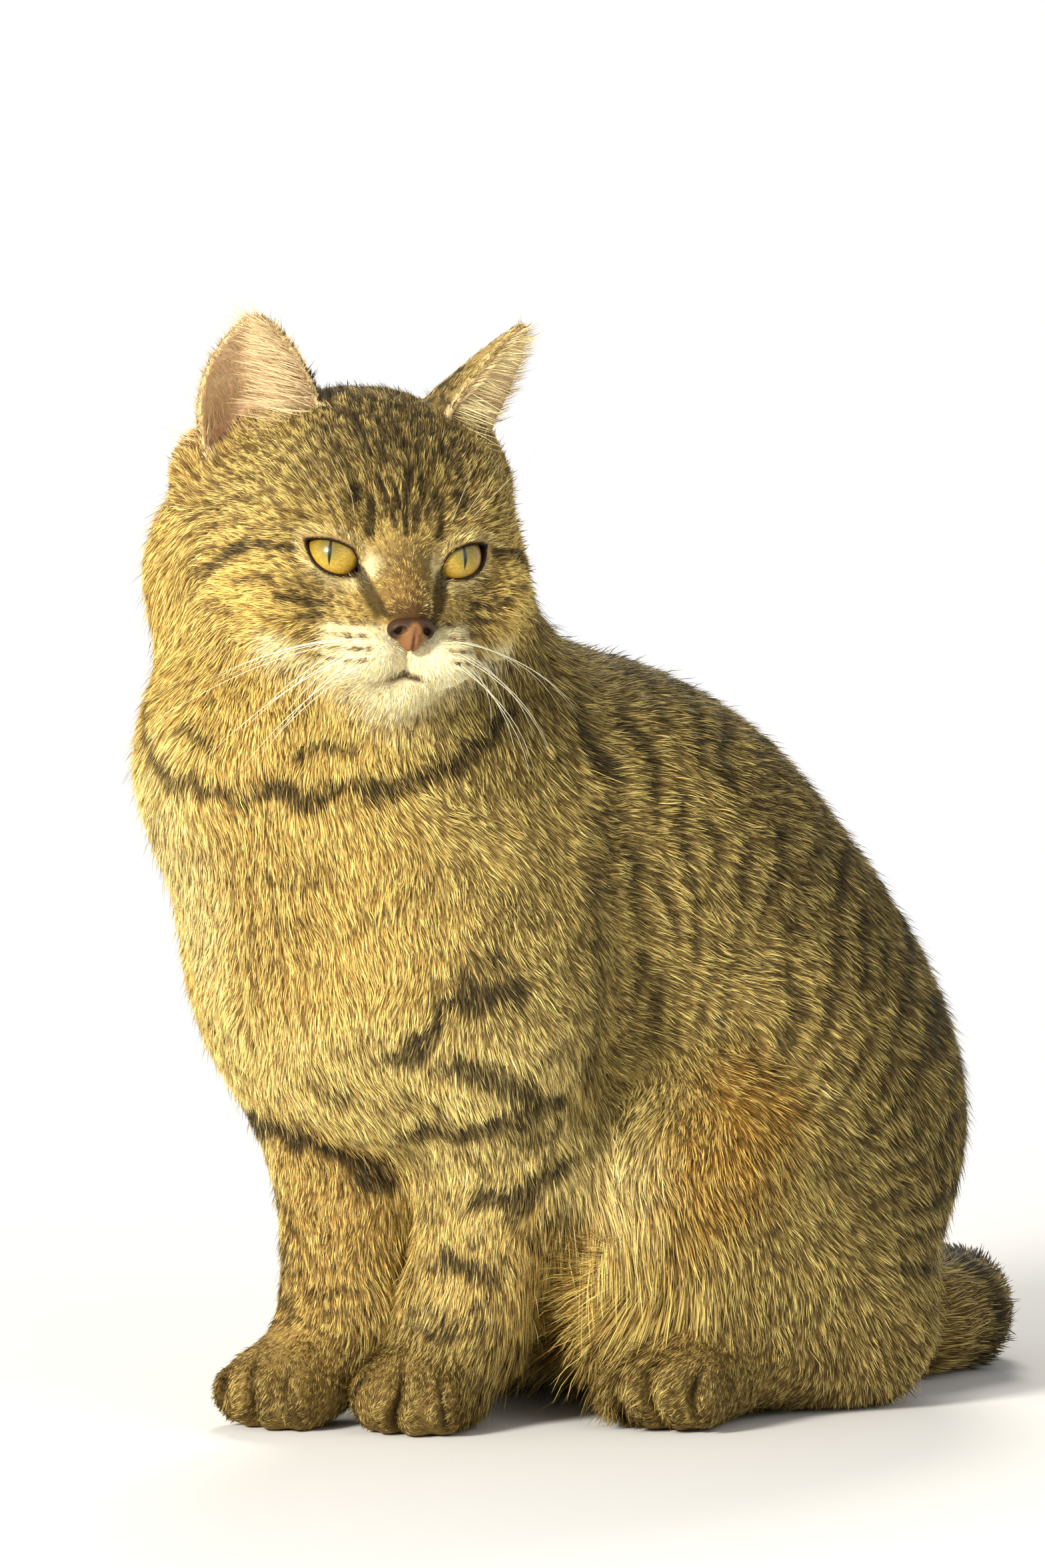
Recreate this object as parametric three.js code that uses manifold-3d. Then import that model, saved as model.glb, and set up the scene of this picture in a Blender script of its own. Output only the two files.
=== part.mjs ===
// A domestic cat sitting upright with its head turned to its left, in a thick winter coat.
// The surface is the outline of the coat, out to the tips of the fur. Units are millimetres, +Z is up, the
// body faces -Y and its left side is on +X. The origin is on the floor, under the middle of the cat's box.

import * as THREE from 'three';
import Module from 'manifold-3d';
import { mergeVertices } from 'three/addons/utils/BufferGeometryUtils.js';

const wasm = await Module();
wasm.setup();

// Driving dimensions.

const CUT = 0.35;                 // width of the thin cut between two neighbouring parts
const FAR = 500;                  // reach of a cutting box, more than the whole cat

const HEAD_CENTRE = [4, 9, 291];  // middle of the skull, above the forepaws
const HEAD_TURN = 66;             // degrees that the face turns to the cat's left
const HEAD_NOD = 3;               // degrees that the face looks down
const HEAD_ROLL = 2.5;            // degrees that the crown leans to the cat's left

const EYE_RADIUS = 10.4;
const EYE_OUT = 18.8;             // from the middle of the face to the middle of an eye
const EYE_FORWARD = 37.5;         // from the middle of the skull
const EYE_DROP = 2.6;
const EYE_SPLAY = 24;             // degrees that each eye looks outward
const CORNEA_RADIUS = 8.4;
const CORNEA_FORWARD = 3.1;       // from the middle of the eye to the middle of the cornea's ball

const EAR_HALF_WIDTH = 24;
const EAR_THICKNESS = 4.2;
const EAR_ROOT = 9;               // length of the ear that sinks into the head

// Size of a grid cell of each part's surface net.
const CELL = {
  trunk: 20.6,
  neck: 19,
  thigh: 18.4,
  tail: 17,
  leg: 13,
  head: 10.2,
  paw: 8.6,
  muzzle: 6.4,
  nose: 3.6,
};

// What each finish looks like, and the parts that aren't covered by the plain coat.
const FINISH = {
  coat: { color: 0x8c7449, roughness: 0.9 },
  muzzle: { color: 0xd9c9a2, roughness: 0.9 },
  ear: { color: 0xb09066, roughness: 0.85 },
  eye: { color: 0xc79a35, roughness: 0.1 },
  nose: { color: 0xb8755a, roughness: 0.5 },
};
const FINISH_OF = {
  muzzle: 'muzzle',
  nose: 'nose',
  ear_left: 'ear',
  ear_right: 'ear',
  eye_left: 'eye',
  eye_right: 'eye',
};

// Fields: a field gives about the distance from a point to a surface, less than zero inside it.

function ellipsoid([cx, cy, cz], [rx, ry, rz], turn = 0) {
  const c = Math.cos(THREE.MathUtils.degToRad(turn));
  const s = Math.sin(THREE.MathUtils.degToRad(turn));
  return (x, y, z) => {
    const px = c * (x - cx) + s * (y - cy);
    const py = -s * (x - cx) + c * (y - cy);
    const pz = z - cz;
    const near = Math.hypot(px / rx, py / ry, pz / rz);
    const steep = Math.hypot(px / rx / rx, py / ry / ry, pz / rz / rz);
    return steep < 1e-9 ? -Math.min(rx, ry, rz) : near * (near - 1) / steep;
  };
}

function limb([ax, ay, az], [bx, by, bz], ra, rb) {
  const [dx, dy, dz] = [bx - ax, by - ay, bz - az];
  const length = dx * dx + dy * dy + dz * dz;
  return (x, y, z) => {
    const along = ((x - ax) * dx + (y - ay) * dy + (z - az) * dz) / length;
    const t = Math.min(1, Math.max(0, along));
    return Math.hypot(x - ax - t * dx, y - ay - t * dy, z - az - t * dz) - ra - t * (rb - ra);
  };
}

function blend(radius, ...fields) {
  return (x, y, z) => fields.reduce((d, field) => {
    const e = field(x, y, z);
    const h = Math.max(radius - Math.abs(d - e), 0) / radius;
    return Math.min(d, e) - h * h * radius / 4;
  }, 1e9);
}

function carve(field, tool, radius) {
  return (x, y, z) => {
    const d = field(x, y, z);
    const e = -tool(x, y, z);
    const h = Math.max(radius - Math.abs(d - e), 0) / radius;
    return Math.max(d, e) + h * h * radius / 4;
  };
}

// Places. The head has its own frame: +X to its left, -Y out of the face, +Z up.

// A place turned about X, then Y, then Z, in degrees.
function placed([x, y, z], [tiltX, tiltY, tiltZ]) {
  const turn = new THREE.Euler(...[tiltX, tiltY, tiltZ].map(THREE.MathUtils.degToRad), 'ZYX');
  const quaternion = new THREE.Quaternion().setFromEuler(turn);
  return new THREE.Matrix4().compose(new THREE.Vector3(x, y, z), quaternion, new THREE.Vector3(1, 1, 1));
}

const headPlace = placed(HEAD_CENTRE, [HEAD_NOD, HEAD_ROLL, HEAD_TURN]);
const intoHead = headPlace.clone().invert();

function inHead(field) {
  const m = intoHead.elements;
  return (x, y, z) => field(
    m[0] * x + m[4] * y + m[8] * z + m[12],
    m[1] * x + m[5] * y + m[9] * z + m[13],
    m[2] * x + m[6] * y + m[10] * z + m[14]);
}

const bothSides = (make) => [make(1), make(-1)];

// Each ear opens forward, turned outward by its own angle, and flares to its outer side by so much half way up.
const EARS = {
  1: { base: [24, 3, 25], tip: [44.5, -8, 73.5], turn: THREE.MathUtils.degToRad(54), flare: 0 },
  '-1': { base: [-33, 2, 25], tip: [-42.5, -12, 73], turn: THREE.MathUtils.degToRad(-24), flare: 2.6 },
};

// The head, in its own frame.

const skull = blend(14,
  ellipsoid([0, 2, 8], [50, 52, 43]),
  ellipsoid([0, -20, 17], [36, 29, 25]),
  ...bothSides((side) => ellipsoid([side * 28, -10, -16], [26, 33, 27])),
  ...bothSides((side) => ellipsoid([side * 24, -30, -21], [17, 15, 14])),
  ...bothSides((side) => ellipsoid([side * 22, -30, 13], [16, 14, 10])),
  ellipsoid([0, -28, -33], [27, 26, 15]));

const muzzle = blend(6,
  limb([0, -38, 4], [0, -58.5, -17], 13, 9.5),
  ...bothSides((side) => ellipsoid([side * 11.5, -53, -33], [14, 15, 11.5])),
  ...bothSides((side) => ellipsoid([side * 12, -43, -18], [11, 13, 13])),
  ellipsoid([0, -50, -43], [12, 12, 9.5]));

const eyeHollows = blend(4, ...bothSides((side) => ellipsoid(
  [side * (EYE_OUT + 4), -EYE_FORWARD - 14, -EYE_DROP], [11, 8, 7], side * EYE_SPLAY)));

const face = carve(blend(9, skull, muzzle), eyeHollows, 5);

const earBases = blend(6,
  ellipsoid([32, 15, 30], [17, 13, 15]),
  ellipsoid([43, 16, 18], [12, 16, 15]),
  ellipsoid([-29, 16, 32], [18, 13, 15]),
  ellipsoid([-48, 20, 18], [14, 18, 17]));

const headMass = inHead(blend(10, face, earBases));

// The neck and its ruff, drawn round to the side that the head turns from.

const neckMass = blend(20,
  limb([0, 46, 196], [-8, 22, 262], 60, 54),
  ellipsoid([-11, 3, 218], [62, 64, 64]),
  ellipsoid([-31, 9, 278], [52, 53, 47]));

// The trunk, from the chest over the hunched back to the rump.

const trunkMass = blend(26,
  ellipsoid([0, 18, 160], [67, 60, 72], 15),
  ellipsoid([0, 86, 172], [64, 90, 84]),
  ellipsoid([0, 130, 138], [72, 90, 97]),
  ellipsoid([0, 171, 92], [78, 84, 95]),
  ellipsoid([0, 110, 70], [60, 62, 54]),
  ...bothSides((side) => ellipsoid([side * 46, 108, 58], [26, 42, 52])));

// The legs. A side is 1 for the left and -1 for the right.

const FORE = {
  1: {
    shoulder: [50, 30, 150],
    elbow: [30, 48, 98],
    wrist: [19, 38, 34],
    paw: [18.5, 22, 12],
    turn: 24,
  },
  '-1': {
    shoulder: [-47, 20, 152],
    elbow: [-27, 28, 98],
    wrist: [-20, 20, 34],
    paw: [-19.5, -2, 12],
    turn: 10,
  },
};

const HIND = {
  1: {
    hip: [40, 172, 96],
    knee: [72, 98, 92],
    hock: [64, 172, 26],
    paw: [66, 93, 14],
    turn: 22,
  },
  '-1': {
    hip: [-40, 172, 96],
    knee: [-70, 102, 90],
    hock: [-64, 172, 26],
    paw: [-64, 96, 14],
    turn: -14,
  },
};

const upperArm = (side) => blend(16,
  ellipsoid(FORE[side].shoulder, [24, 31, 56], 10),
  limb(FORE[side].shoulder, FORE[side].elbow, 29, 28));

const foreMass = (side) => blend(16, upperArm(side), limb(FORE[side].elbow, FORE[side].wrist, 28, 21.5));

function pawMass({ paw: [px, py, pz], turn }, size, reach) {
  const c = Math.cos(THREE.MathUtils.degToRad(turn));
  const s = Math.sin(THREE.MathUtils.degToRad(turn));
  const place = (across, back, up) => [px + c * across - s * back, py + s * across + c * back, pz + up];
  const toes = [-1.5, -0.5, 0.5, 1.5].map((k) => {
    const middle = 1 - Math.abs(k) / 2.2;
    return ellipsoid(place(size * 0.47 * k, -reach - 5 * middle, -2 + 2 * middle),
      [size * 0.31, size * 0.62, size * 0.6], turn + 8 * k);
  });
  return blend(8, ellipsoid(place(0, 0, 2), [size, size * 1.15, size * 0.78], turn), blend(1.6, ...toes));
}

const forePawMass = (side) => blend(10,
  pawMass(FORE[side], 19, 8),
  limb(FORE[side].wrist, FORE[side].paw, 21.5, 15));

const hindPawMass = (side) => blend(12,
  pawMass(HIND[side], 19.5, 8),
  limb(HIND[side].paw, HIND[side].hock, 15, 20));

const thighMass = (side) => blend(20,
  ellipsoid([side * 56, 142, 78], [36, 64, 74]),
  ellipsoid([side * 60, 166, 34], [28, 34, 36]),
  limb(HIND[side].hip, HIND[side].knee, 46, 27),
  limb(HIND[side].knee, HIND[side].hock, 24, 24));

// The tail lies on the floor behind the rump and curls away to the cat's right.

function tailRoute(t) {
  const angle = THREE.MathUtils.degToRad(-28 + 235 * t);
  return [-60 + 82 * Math.cos(angle), 238 + 52 * Math.sin(angle), 19 - 3 * t];
}

const TAIL_STEPS = 10;
const tailRadius = (t) => 23 - 4 * t - 8 * Math.max(0, t - 0.8) / 0.2;
const tailSteps = Array.from({ length: TAIL_STEPS }, (_, i) => limb(
  tailRoute(i / TAIL_STEPS), tailRoute((i + 1) / TAIL_STEPS),
  tailRadius(i / TAIL_STEPS), tailRadius((i + 1) / TAIL_STEPS)));
const tailMass = blend(6, ...tailSteps);
const tailRoot = blend(6, ...tailSteps.slice(0, 3));

// Surface nets: one vertex in each grid cell that the surface crosses, pulled onto the surface.

function netOf(field, [x0, y0, z0], [x1, y1, z1], cell) {
  // The grid reaches half a cell past the box on each side.
  const [nx, ny, nz] = [x1 - x0, y1 - y0, z1 - z0].map((span) => Math.ceil(span / cell) + 2);
  const at = (i, j, k) => (k * ny + j) * nx + i;
  const values = new Float64Array(nx * ny * nz);
  for (let k = 0; k < nz; k += 1) {
    for (let j = 0; j < ny; j += 1) {
      for (let i = 0; i < nx; i += 1) {
        values[at(i, j, k)] = field(x0 + cell * (i - 0.5), y0 + cell * (j - 0.5), z0 + cell * (k - 0.5));
      }
    }
  }
  const corners = Array.from({ length: 8 }, (_, n) => [n & 1, (n >> 1) & 1, n >> 2]);
  const vertexOf = new Map();
  const points = [];
  for (let k = 0; k < nz - 1; k += 1) {
    for (let j = 0; j < ny - 1; j += 1) {
      for (let i = 0; i < nx - 1; i += 1) {
        const d = corners.map(([a, b, c]) => values[at(i + a, j + b, k + c)]);
        const inside = d.filter((v) => v < 0).length;
        if (inside === 0 || inside === 8) {
          continue;
        }
        const sum = [0, 0, 0];
        let count = 0;
        for (let m = 0; m < 8; m += 1) {
          for (const bit of [1, 2, 4]) {
            const n = m | bit;
            if (n === m || (d[m] < 0) === (d[n] < 0)) {
              continue;
            }
            const t = d[m] / (d[m] - d[n]);
            corners[m].forEach((v, axis) => {
              sum[axis] += v + t * (corners[n][axis] - v);
            });
            count += 1;
          }
        }
        const start = [
          x0 + cell * (i - 0.5 + sum[0] / count),
          y0 + cell * (j - 0.5 + sum[1] / count),
          z0 + cell * (k - 0.5 + sum[2] / count)];
        vertexOf.set(at(i, j, k), points.length);
        points.push(pulled(field, start, cell * 0.45));
      }
    }
  }
  return { points, faces: netFaces(values, at, [nx, ny, nz], vertexOf, points) };
}

// A point pulled onto a field's surface, by no more than its reach along each axis.
function pulled(field, start, reach) {
  const step = 0.3;
  let [x, y, z] = start;
  for (let round = 0; round < 4; round += 1) {
    const d = field(x, y, z);
    const g = [
      field(x + step, y, z) - field(x - step, y, z),
      field(x, y + step, z) - field(x, y - step, z),
      field(x, y, z + step) - field(x, y, z - step)].map((v) => v / step / 2);
    const steep = Math.max(0.2, g[0] ** 2 + g[1] ** 2 + g[2] ** 2);
    x -= g[0] * d / steep;
    y -= g[1] * d / steep;
    z -= g[2] * d / steep;
  }
  return [x, y, z].map((v, axis) => Math.min(start[axis] + reach, Math.max(start[axis] - reach, v)));
}

// Two triangles round each grid edge that the surface crosses, split along the shorter diagonal.
function netFaces(values, at, [nx, ny, nz], vertexOf, points) {
  const faces = [];
  const unit = (axis) => [0, 1, 2].map((other) => (other === axis ? 1 : 0));
  const apart = (a, b) => Math.hypot(...[0, 1, 2].map((axis) => points[a][axis] - points[b][axis]));
  const quad = (ring, flip) => {
    const [a, b, c, d] = flip ? [...ring].reverse() : ring;
    faces.push(...(apart(a, c) < apart(b, d) ? [a, b, c, a, c, d] : [a, b, d, b, c, d]));
  };
  for (let k = 1; k < nz - 1; k += 1) {
    for (let j = 1; j < ny - 1; j += 1) {
      for (let i = 1; i < nx - 1; i += 1) {
        const here = values[at(i, j, k)] < 0;
        const cells = (u, v) => [[0, 0, 0], u, u.map((step, axis) => step + v[axis]), v]
          .map(([a, b, c]) => vertexOf.get(at(i - a, j - b, k - c)));
        for (const axis of [0, 1, 2]) {
          const [next, u, v] = [0, 1, 2].map((shift) => unit((axis + shift) % 3));
          if (here !== values[at(i + next[0], j + next[1], k + next[2])] < 0) {
            quad(cells(u, v), !here);
          }
        }
      }
    }
  }
  return faces;
}

// Solids.

function solidOf(geometry) {
  const bare = geometry.index ? geometry.toNonIndexed() : geometry.clone();
  bare.deleteAttribute('normal');
  bare.deleteAttribute('uv');
  const merged = mergeVertices(bare, 1e-4);
  return new wasm.Manifold(new wasm.Mesh({
    numProp: 3,
    vertProperties: new Float32Array(merged.attributes.position.array),
    triVerts: new Uint32Array(merged.index.array),
  }));
}

function geometryOf(points, faces) {
  const geometry = new THREE.BufferGeometry();
  geometry.setAttribute('position', new THREE.Float32BufferAttribute(points.flat(), 3));
  geometry.setIndex(faces);
  return geometry;
}

// The part of a field that lies in a box.
function netGeometry(field, low, high, cell) {
  const middle = low.map((v, axis) => (v + high[axis]) / 2);
  const reach = low.map((v, axis) => (high[axis] - v) / 2);
  const clipped = (x, y, z) => Math.max(field(x, y, z),
    ...[x, y, z].map((v, axis) => Math.abs(v - middle[axis]) - reach[axis]));
  const { points, faces } = netOf(clipped, low.map((v) => v - cell), high.map((v) => v + cell), cell);
  return geometryOf(points, faces);
}

const netSolid = (...net) => solidOf(netGeometry(...net));

// A box with its lower face at a plane through a point; grown by a cut's width for the neighbour.
function boxBeyond(place, [w, d, h], grow = 0) {
  const box = new THREE.BoxGeometry(w + 2 * grow, d + 2 * grow, h + 2 * grow);
  box.translate(0, 0, h / 2);
  box.applyMatrix4(place);
  return solidOf(box);
}

const floorBelow = solidOf(new THREE.BoxGeometry(FAR * 2, FAR * 2, 60).translate(0, 0, -30));

// The ears: cupped, pointed shells that sink into the head.

function earGeometry(side) {
  const { base, tip, turn, flare } = EARS[side];
  const across = 8;
  const along = 6;
  const height = Math.hypot(...base.map((v, axis) => tip[axis] - v));
  const points = [];
  for (const face of [1, 0]) {
    for (let j = 0; j <= along; j += 1) {
      const up = -EAR_ROOT + j / along * (height + EAR_ROOT);
      const rise = Math.max(0, up) / height;
      const half = EAR_HALF_WIDTH * (1 - rise ** 2.3) ** 0.74 + 1.4;
      const shift = side * flare * Math.sin(Math.PI * rise);
      const bow = THREE.MathUtils.degToRad(82 - 38 * rise);
      const wall = EAR_THICKNESS * (1 - 0.4 * rise);
      const flat = half / Math.sin(bow);
      for (let i = 0; i <= across; i += 1) {
        const s = 2 * i / across - 1;
        const radius = flat - (face ? wall * (1 - 0.4 * s * s) : 0);
        const depth = radius * Math.cos(bow * s) - flat * Math.cos(bow) - 4;
        points.push([radius * Math.sin(bow * s) + shift, depth, up]);
      }
    }
  }
  const columns = across + 1;
  const rows = along + 1;
  const at = (face, i, j) => (face * rows + j) * columns + i;
  const faces = [];
  const quad = (a, b, c, d) => faces.push(a, c, b, a, d, c);
  for (let j = 0; j < along; j += 1) {
    for (let i = 0; i < across; i += 1) {
      quad(at(0, i + 1, j), at(0, i, j), at(0, i, j + 1), at(0, i + 1, j + 1));
      quad(at(1, i, j), at(1, i + 1, j), at(1, i + 1, j + 1), at(1, i, j + 1));
    }
    quad(at(1, across, j), at(0, across, j), at(0, across, j + 1), at(1, across, j + 1));
    quad(at(0, 0, j), at(1, 0, j), at(1, 0, j + 1), at(0, 0, j + 1));
  }
  for (let i = 0; i < across; i += 1) {
    quad(at(1, i + 1, 0), at(1, i, 0), at(0, i, 0), at(0, i + 1, 0));
    quad(at(0, i + 1, along), at(0, i, along), at(1, i, along), at(1, i + 1, along));
  }
  const up = new THREE.Vector3(...tip).sub(new THREE.Vector3(...base)).normalize();
  const back = new THREE.Vector3(-Math.sin(turn), Math.cos(turn), 0);
  const right = new THREE.Vector3().crossVectors(back, up).normalize();
  const place = new THREE.Matrix4().makeBasis(right, new THREE.Vector3().crossVectors(up, right), up);
  return geometryOf(points, faces).applyMatrix4(place.setPosition(...base)).applyMatrix4(headPlace);
}

// An eye: a ball with the cornea's smaller ball swelling out of it, looking along -Y before it is placed.
function eyeGeometry(side) {
  const meet = Math.acos((EYE_RADIUS ** 2 + CORNEA_FORWARD ** 2 - CORNEA_RADIUS ** 2)
    / (2 * EYE_RADIUS * CORNEA_FORWARD));
  const cornea = Math.PI - Math.acos((CORNEA_RADIUS ** 2 + CORNEA_FORWARD ** 2 - EYE_RADIUS ** 2)
    / (2 * CORNEA_RADIUS * CORNEA_FORWARD));
  const profile = [];
  const backSteps = 5;
  const frontSteps = 4;
  for (let i = 0; i <= backSteps; i += 1) {
    const a = Math.PI - (Math.PI - meet) * i / backSteps;
    profile.push(new THREE.Vector2(EYE_RADIUS * Math.sin(a), EYE_RADIUS * Math.cos(a)));
  }
  for (let i = 1; i <= frontSteps; i += 1) {
    const a = cornea * (1 - i / frontSteps);
    profile.push(new THREE.Vector2(
      CORNEA_RADIUS * Math.sin(a), CORNEA_FORWARD + CORNEA_RADIUS * Math.cos(a)));
  }
  profile[0].x = 0;
  profile[profile.length - 1].x = 0;
  const geometry = new THREE.LatheGeometry(profile, 14);
  geometry.rotateX(Math.PI / 2);
  geometry.rotateZ(side * THREE.MathUtils.degToRad(EYE_SPLAY));
  geometry.translate(side * EYE_OUT, -EYE_FORWARD, -EYE_DROP);
  return geometry.applyMatrix4(headPlace);
}

// The nose leather, a small rounded wedge.
const NOSE_CENTRE = new THREE.Vector3(0, -65.8, -23).applyMatrix4(headPlace).toArray();
const leather = inHead(blend(2,
  ellipsoid([0, -66, -22.3], [7, 4.6, 4]),
  ellipsoid([0, -65.5, -25.5], [4, 4.4, 4.4])));
const noseGeometry = () => netGeometry(
  leather, NOSE_CENTRE.map((v) => v - 12), NOSE_CENTRE.map((v) => v + 12), CELL.nose);

// A shape grown about its middle, so that its neighbour keeps a thin gap all round it.
function grownAbout([x, y, z], geometry, radius) {
  const size = 1 + CUT / radius;
  return solidOf(geometry.translate(-x, -y, -z).scale(size, size, size).translate(x, y, z));
}

const noseGrown = () => grownAbout(NOSE_CENTRE, noseGeometry(), 3.6);
const eyeGrown = (side) => () => grownAbout(
  new THREE.Vector3(side * EYE_OUT, -EYE_FORWARD, -EYE_DROP).applyMatrix4(headPlace).toArray(),
  eyeGeometry(side), CORNEA_RADIUS);

// Where the parts are cut from each other. Each cutter is a closed solid that grows by a given width.

const neckCut = (grow) => boxBeyond(placed([0, 30, 205], [30, 0, 0]), [FAR, FAR, FAR], grow);

const headCut = (grow) => boxBeyond(
  headPlace.clone().multiply(placed([0, 10, -40], [30, 0, 0])), [FAR, FAR, FAR], grow);

const earCut = (side) => (grow) => boxBeyond(
  headPlace.clone().multiply(placed([side * 33, 4, 29], [0, side * 40, 0])), [54, 62, 70], grow);

const muzzleCut = (grow) => boxBeyond(
  headPlace.clone().multiply(placed([0, -43, -33], [90, 0, 0])), [58, 52, 45], grow);

const foreCut = (side) => (grow) => boxBeyond(
  placed([side * 60.2, FORE[side].elbow[1] - 72, -20], [0, 0, 0]), [120, 180, 130], grow);

const forePawCut = (side) => (grow) => boxBeyond(
  placed([side * 60.2, -20, -30], [0, 0, 0]), [120, 200, 61], grow);

const hindPawCut = (side) => (grow) => boxBeyond(
  placed([side * 78, 80, -30], [0, 0, 0]), [76, 96, 62], grow);

function hindCut(side) {
  return (grow) => {
    const disc = new THREE.CylinderGeometry(86 + grow, 86 + grow, 90 + 2 * grow, 40);
    disc.rotateZ(Math.PI / 2);
    return solidOf(disc.translate(side * 96, 138, 78));
  };
}

// The tail is cut from its root across a plane through this place.
const tailPlace = placed([16, 253, -30], [0, 0, 16]);
const tailCut = (grow) => boxBeyond(
  tailPlace.clone().multiply(placed([0, 34, 0], [0, 0, 0])), [76, 68, 80], grow);
const tailRootBox = boxBeyond(
  tailPlace.clone().multiply(placed([10, -60, 0], [0, 0, 0])), [96, 120, 80]);

// The whole body as one mass, without the second of two legs that stand close together.

const trunkWhole = blend(12,
  blend(24, trunkMass, neckMass, upperArm(1), upperArm(-1), thighMass(1), thighMass(-1)),
  headMass,
  tailRoot);
const foreWhole = (side) => blend(10, blend(18, trunkMass, foreMass(side)), forePawMass(side));
const hindWhole = (side) => blend(10, trunkWhole, hindPawMass(side));

// The parts.

const carved = (solid, ...cuts) => cuts.reduce((rest, cut) => rest.subtract(cut(CUT)), solid)
  .subtract(floorBelow);

const across = (side, near, far) => (side > 0 ? [near, far] : [-far, -near]);

function sidedNet(field, side, near, far, [y0, y1], [z0, z1], cell) {
  const [x0, x1] = across(side, near, far);
  return netSolid(field, [x0, y0, z0], [x1, y1, z1], cell);
}

function legParts(side, name) {
  const fore = foreWhole(side);
  const hind = hindWhole(side);
  const forePaw = sidedNet(fore, side, -14, 110, [-70, 90], [-12, 45], CELL.paw);
  const foreLeg = sidedNet(fore, side, -14, 110, [-75, 112], [-12, 128], CELL.leg);
  const hindPaw = sidedNet(hind, side, 28, 125, [20, 145], [-12, 46], CELL.paw);
  const hindLeg = sidedNet(hind, side, 36, 130, [36, 245], [-14, 185], CELL.thigh);
  return {
    [`foreleg_${name}`]: carved(foreLeg.intersect(foreCut(side)(0)), forePawCut(side), hindCut(side)),
    [`forepaw_${name}`]: carved(forePaw.intersect(foreCut(side)(0)).intersect(forePawCut(side)(0))),
    [`hindleg_${name}`]: carved(hindLeg.intersect(hindCut(side)(0)), hindPawCut(side)),
    [`hindpaw_${name}`]: carved(hindPaw.intersect(hindPawCut(side)(0))),
  };
}

const headWhole = netSolid(trunkWhole, [-95, -75, 205], [95, 100, 355], CELL.head)
  .add(solidOf(earGeometry(1))).add(solidOf(earGeometry(-1))).intersect(headCut(0));

const solids = {
  head: carved(headWhole, earCut(1), earCut(-1), eyeGrown(1), eyeGrown(-1), noseGrown, muzzleCut),
  muzzle: carved(
    netSolid(trunkWhole, [5, -70, 218], [95, 20, 300], CELL.muzzle).intersect(muzzleCut(0)),
    eyeGrown(1), eyeGrown(-1), noseGrown),
  ear_left: headWhole.intersect(earCut(1)(0)),
  ear_right: headWhole.intersect(earCut(-1)(0)),
  eye_left: solidOf(eyeGeometry(1)),
  eye_right: solidOf(eyeGeometry(-1)),
  nose: solidOf(noseGeometry()),
  neck: carved(
    netSolid(trunkWhole, [-105, -85, 120], [95, 190, 355], CELL.neck).intersect(neckCut(0)), headCut),
  trunk: carved(netSolid(trunkWhole, [-120, -80, -15], [120, 300, 300], CELL.trunk), neckCut, headCut,
    foreCut(1), foreCut(-1), hindCut(1), hindCut(-1), hindPawCut(1), hindPawCut(-1), tailCut),
  ...legParts(1, 'left'),
  ...legParts(-1, 'right'),
  tail: carved(netSolid(tailMass, [-190, 170, -8], [60, 330, 60], CELL.tail).subtract(tailRootBox)),
};

function meshOf(name, solid) {
  const { vertProperties, triVerts } = solid.getMesh();
  const geometry = new THREE.BufferGeometry();
  geometry.setAttribute('position', new THREE.BufferAttribute(vertProperties, 3));
  geometry.setIndex(new THREE.BufferAttribute(triVerts, 1));
  geometry.computeVertexNormals();
  const material = new THREE.MeshStandardMaterial(FINISH[FINISH_OF[name] ?? 'coat']);
  const mesh = new THREE.Mesh(geometry, material);
  mesh.name = name;
  return mesh;
}

const cat = new THREE.Group();
for (const [name, solid] of Object.entries(solids)) {
  cat.add(meshOf(name, solid));
}

const box = new THREE.Box3().setFromObject(cat, true);
const middle = box.getCenter(new THREE.Vector3());
cat.position.set(-middle.x, -middle.y, -box.min.z);

export default cat;
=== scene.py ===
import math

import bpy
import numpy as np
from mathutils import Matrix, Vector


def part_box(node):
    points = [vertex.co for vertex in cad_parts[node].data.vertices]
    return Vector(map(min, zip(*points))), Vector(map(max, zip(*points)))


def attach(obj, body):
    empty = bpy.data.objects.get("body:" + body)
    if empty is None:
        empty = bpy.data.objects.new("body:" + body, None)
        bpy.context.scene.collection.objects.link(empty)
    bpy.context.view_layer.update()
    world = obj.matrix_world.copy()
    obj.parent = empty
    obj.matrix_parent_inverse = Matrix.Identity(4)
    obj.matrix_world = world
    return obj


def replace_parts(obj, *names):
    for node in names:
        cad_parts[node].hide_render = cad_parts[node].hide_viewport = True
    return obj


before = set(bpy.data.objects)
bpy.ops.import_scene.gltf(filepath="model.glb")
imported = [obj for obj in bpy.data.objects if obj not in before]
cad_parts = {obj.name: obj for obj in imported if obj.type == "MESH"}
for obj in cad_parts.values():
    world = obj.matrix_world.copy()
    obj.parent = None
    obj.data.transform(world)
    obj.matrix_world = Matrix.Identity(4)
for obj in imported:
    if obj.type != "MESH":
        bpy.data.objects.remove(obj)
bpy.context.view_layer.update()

# A brown tabby cat in a thick winter coat, sitting with its head turned to its left.
# One skin grows from the same masses as the solids, drawn in by the depth of the coat, and the coat lies
# over it as thin tufts of mesh. Places are in millimetres until a mesh is made: the body faces -Y, its left
# side is on +X and the floor is at 0. The head has its own frame: +X to its left, -Y out of the face, +Z up.

rng = np.random.default_rng(7)
F4 = np.float32
SIDES = (1, -1)

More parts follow.
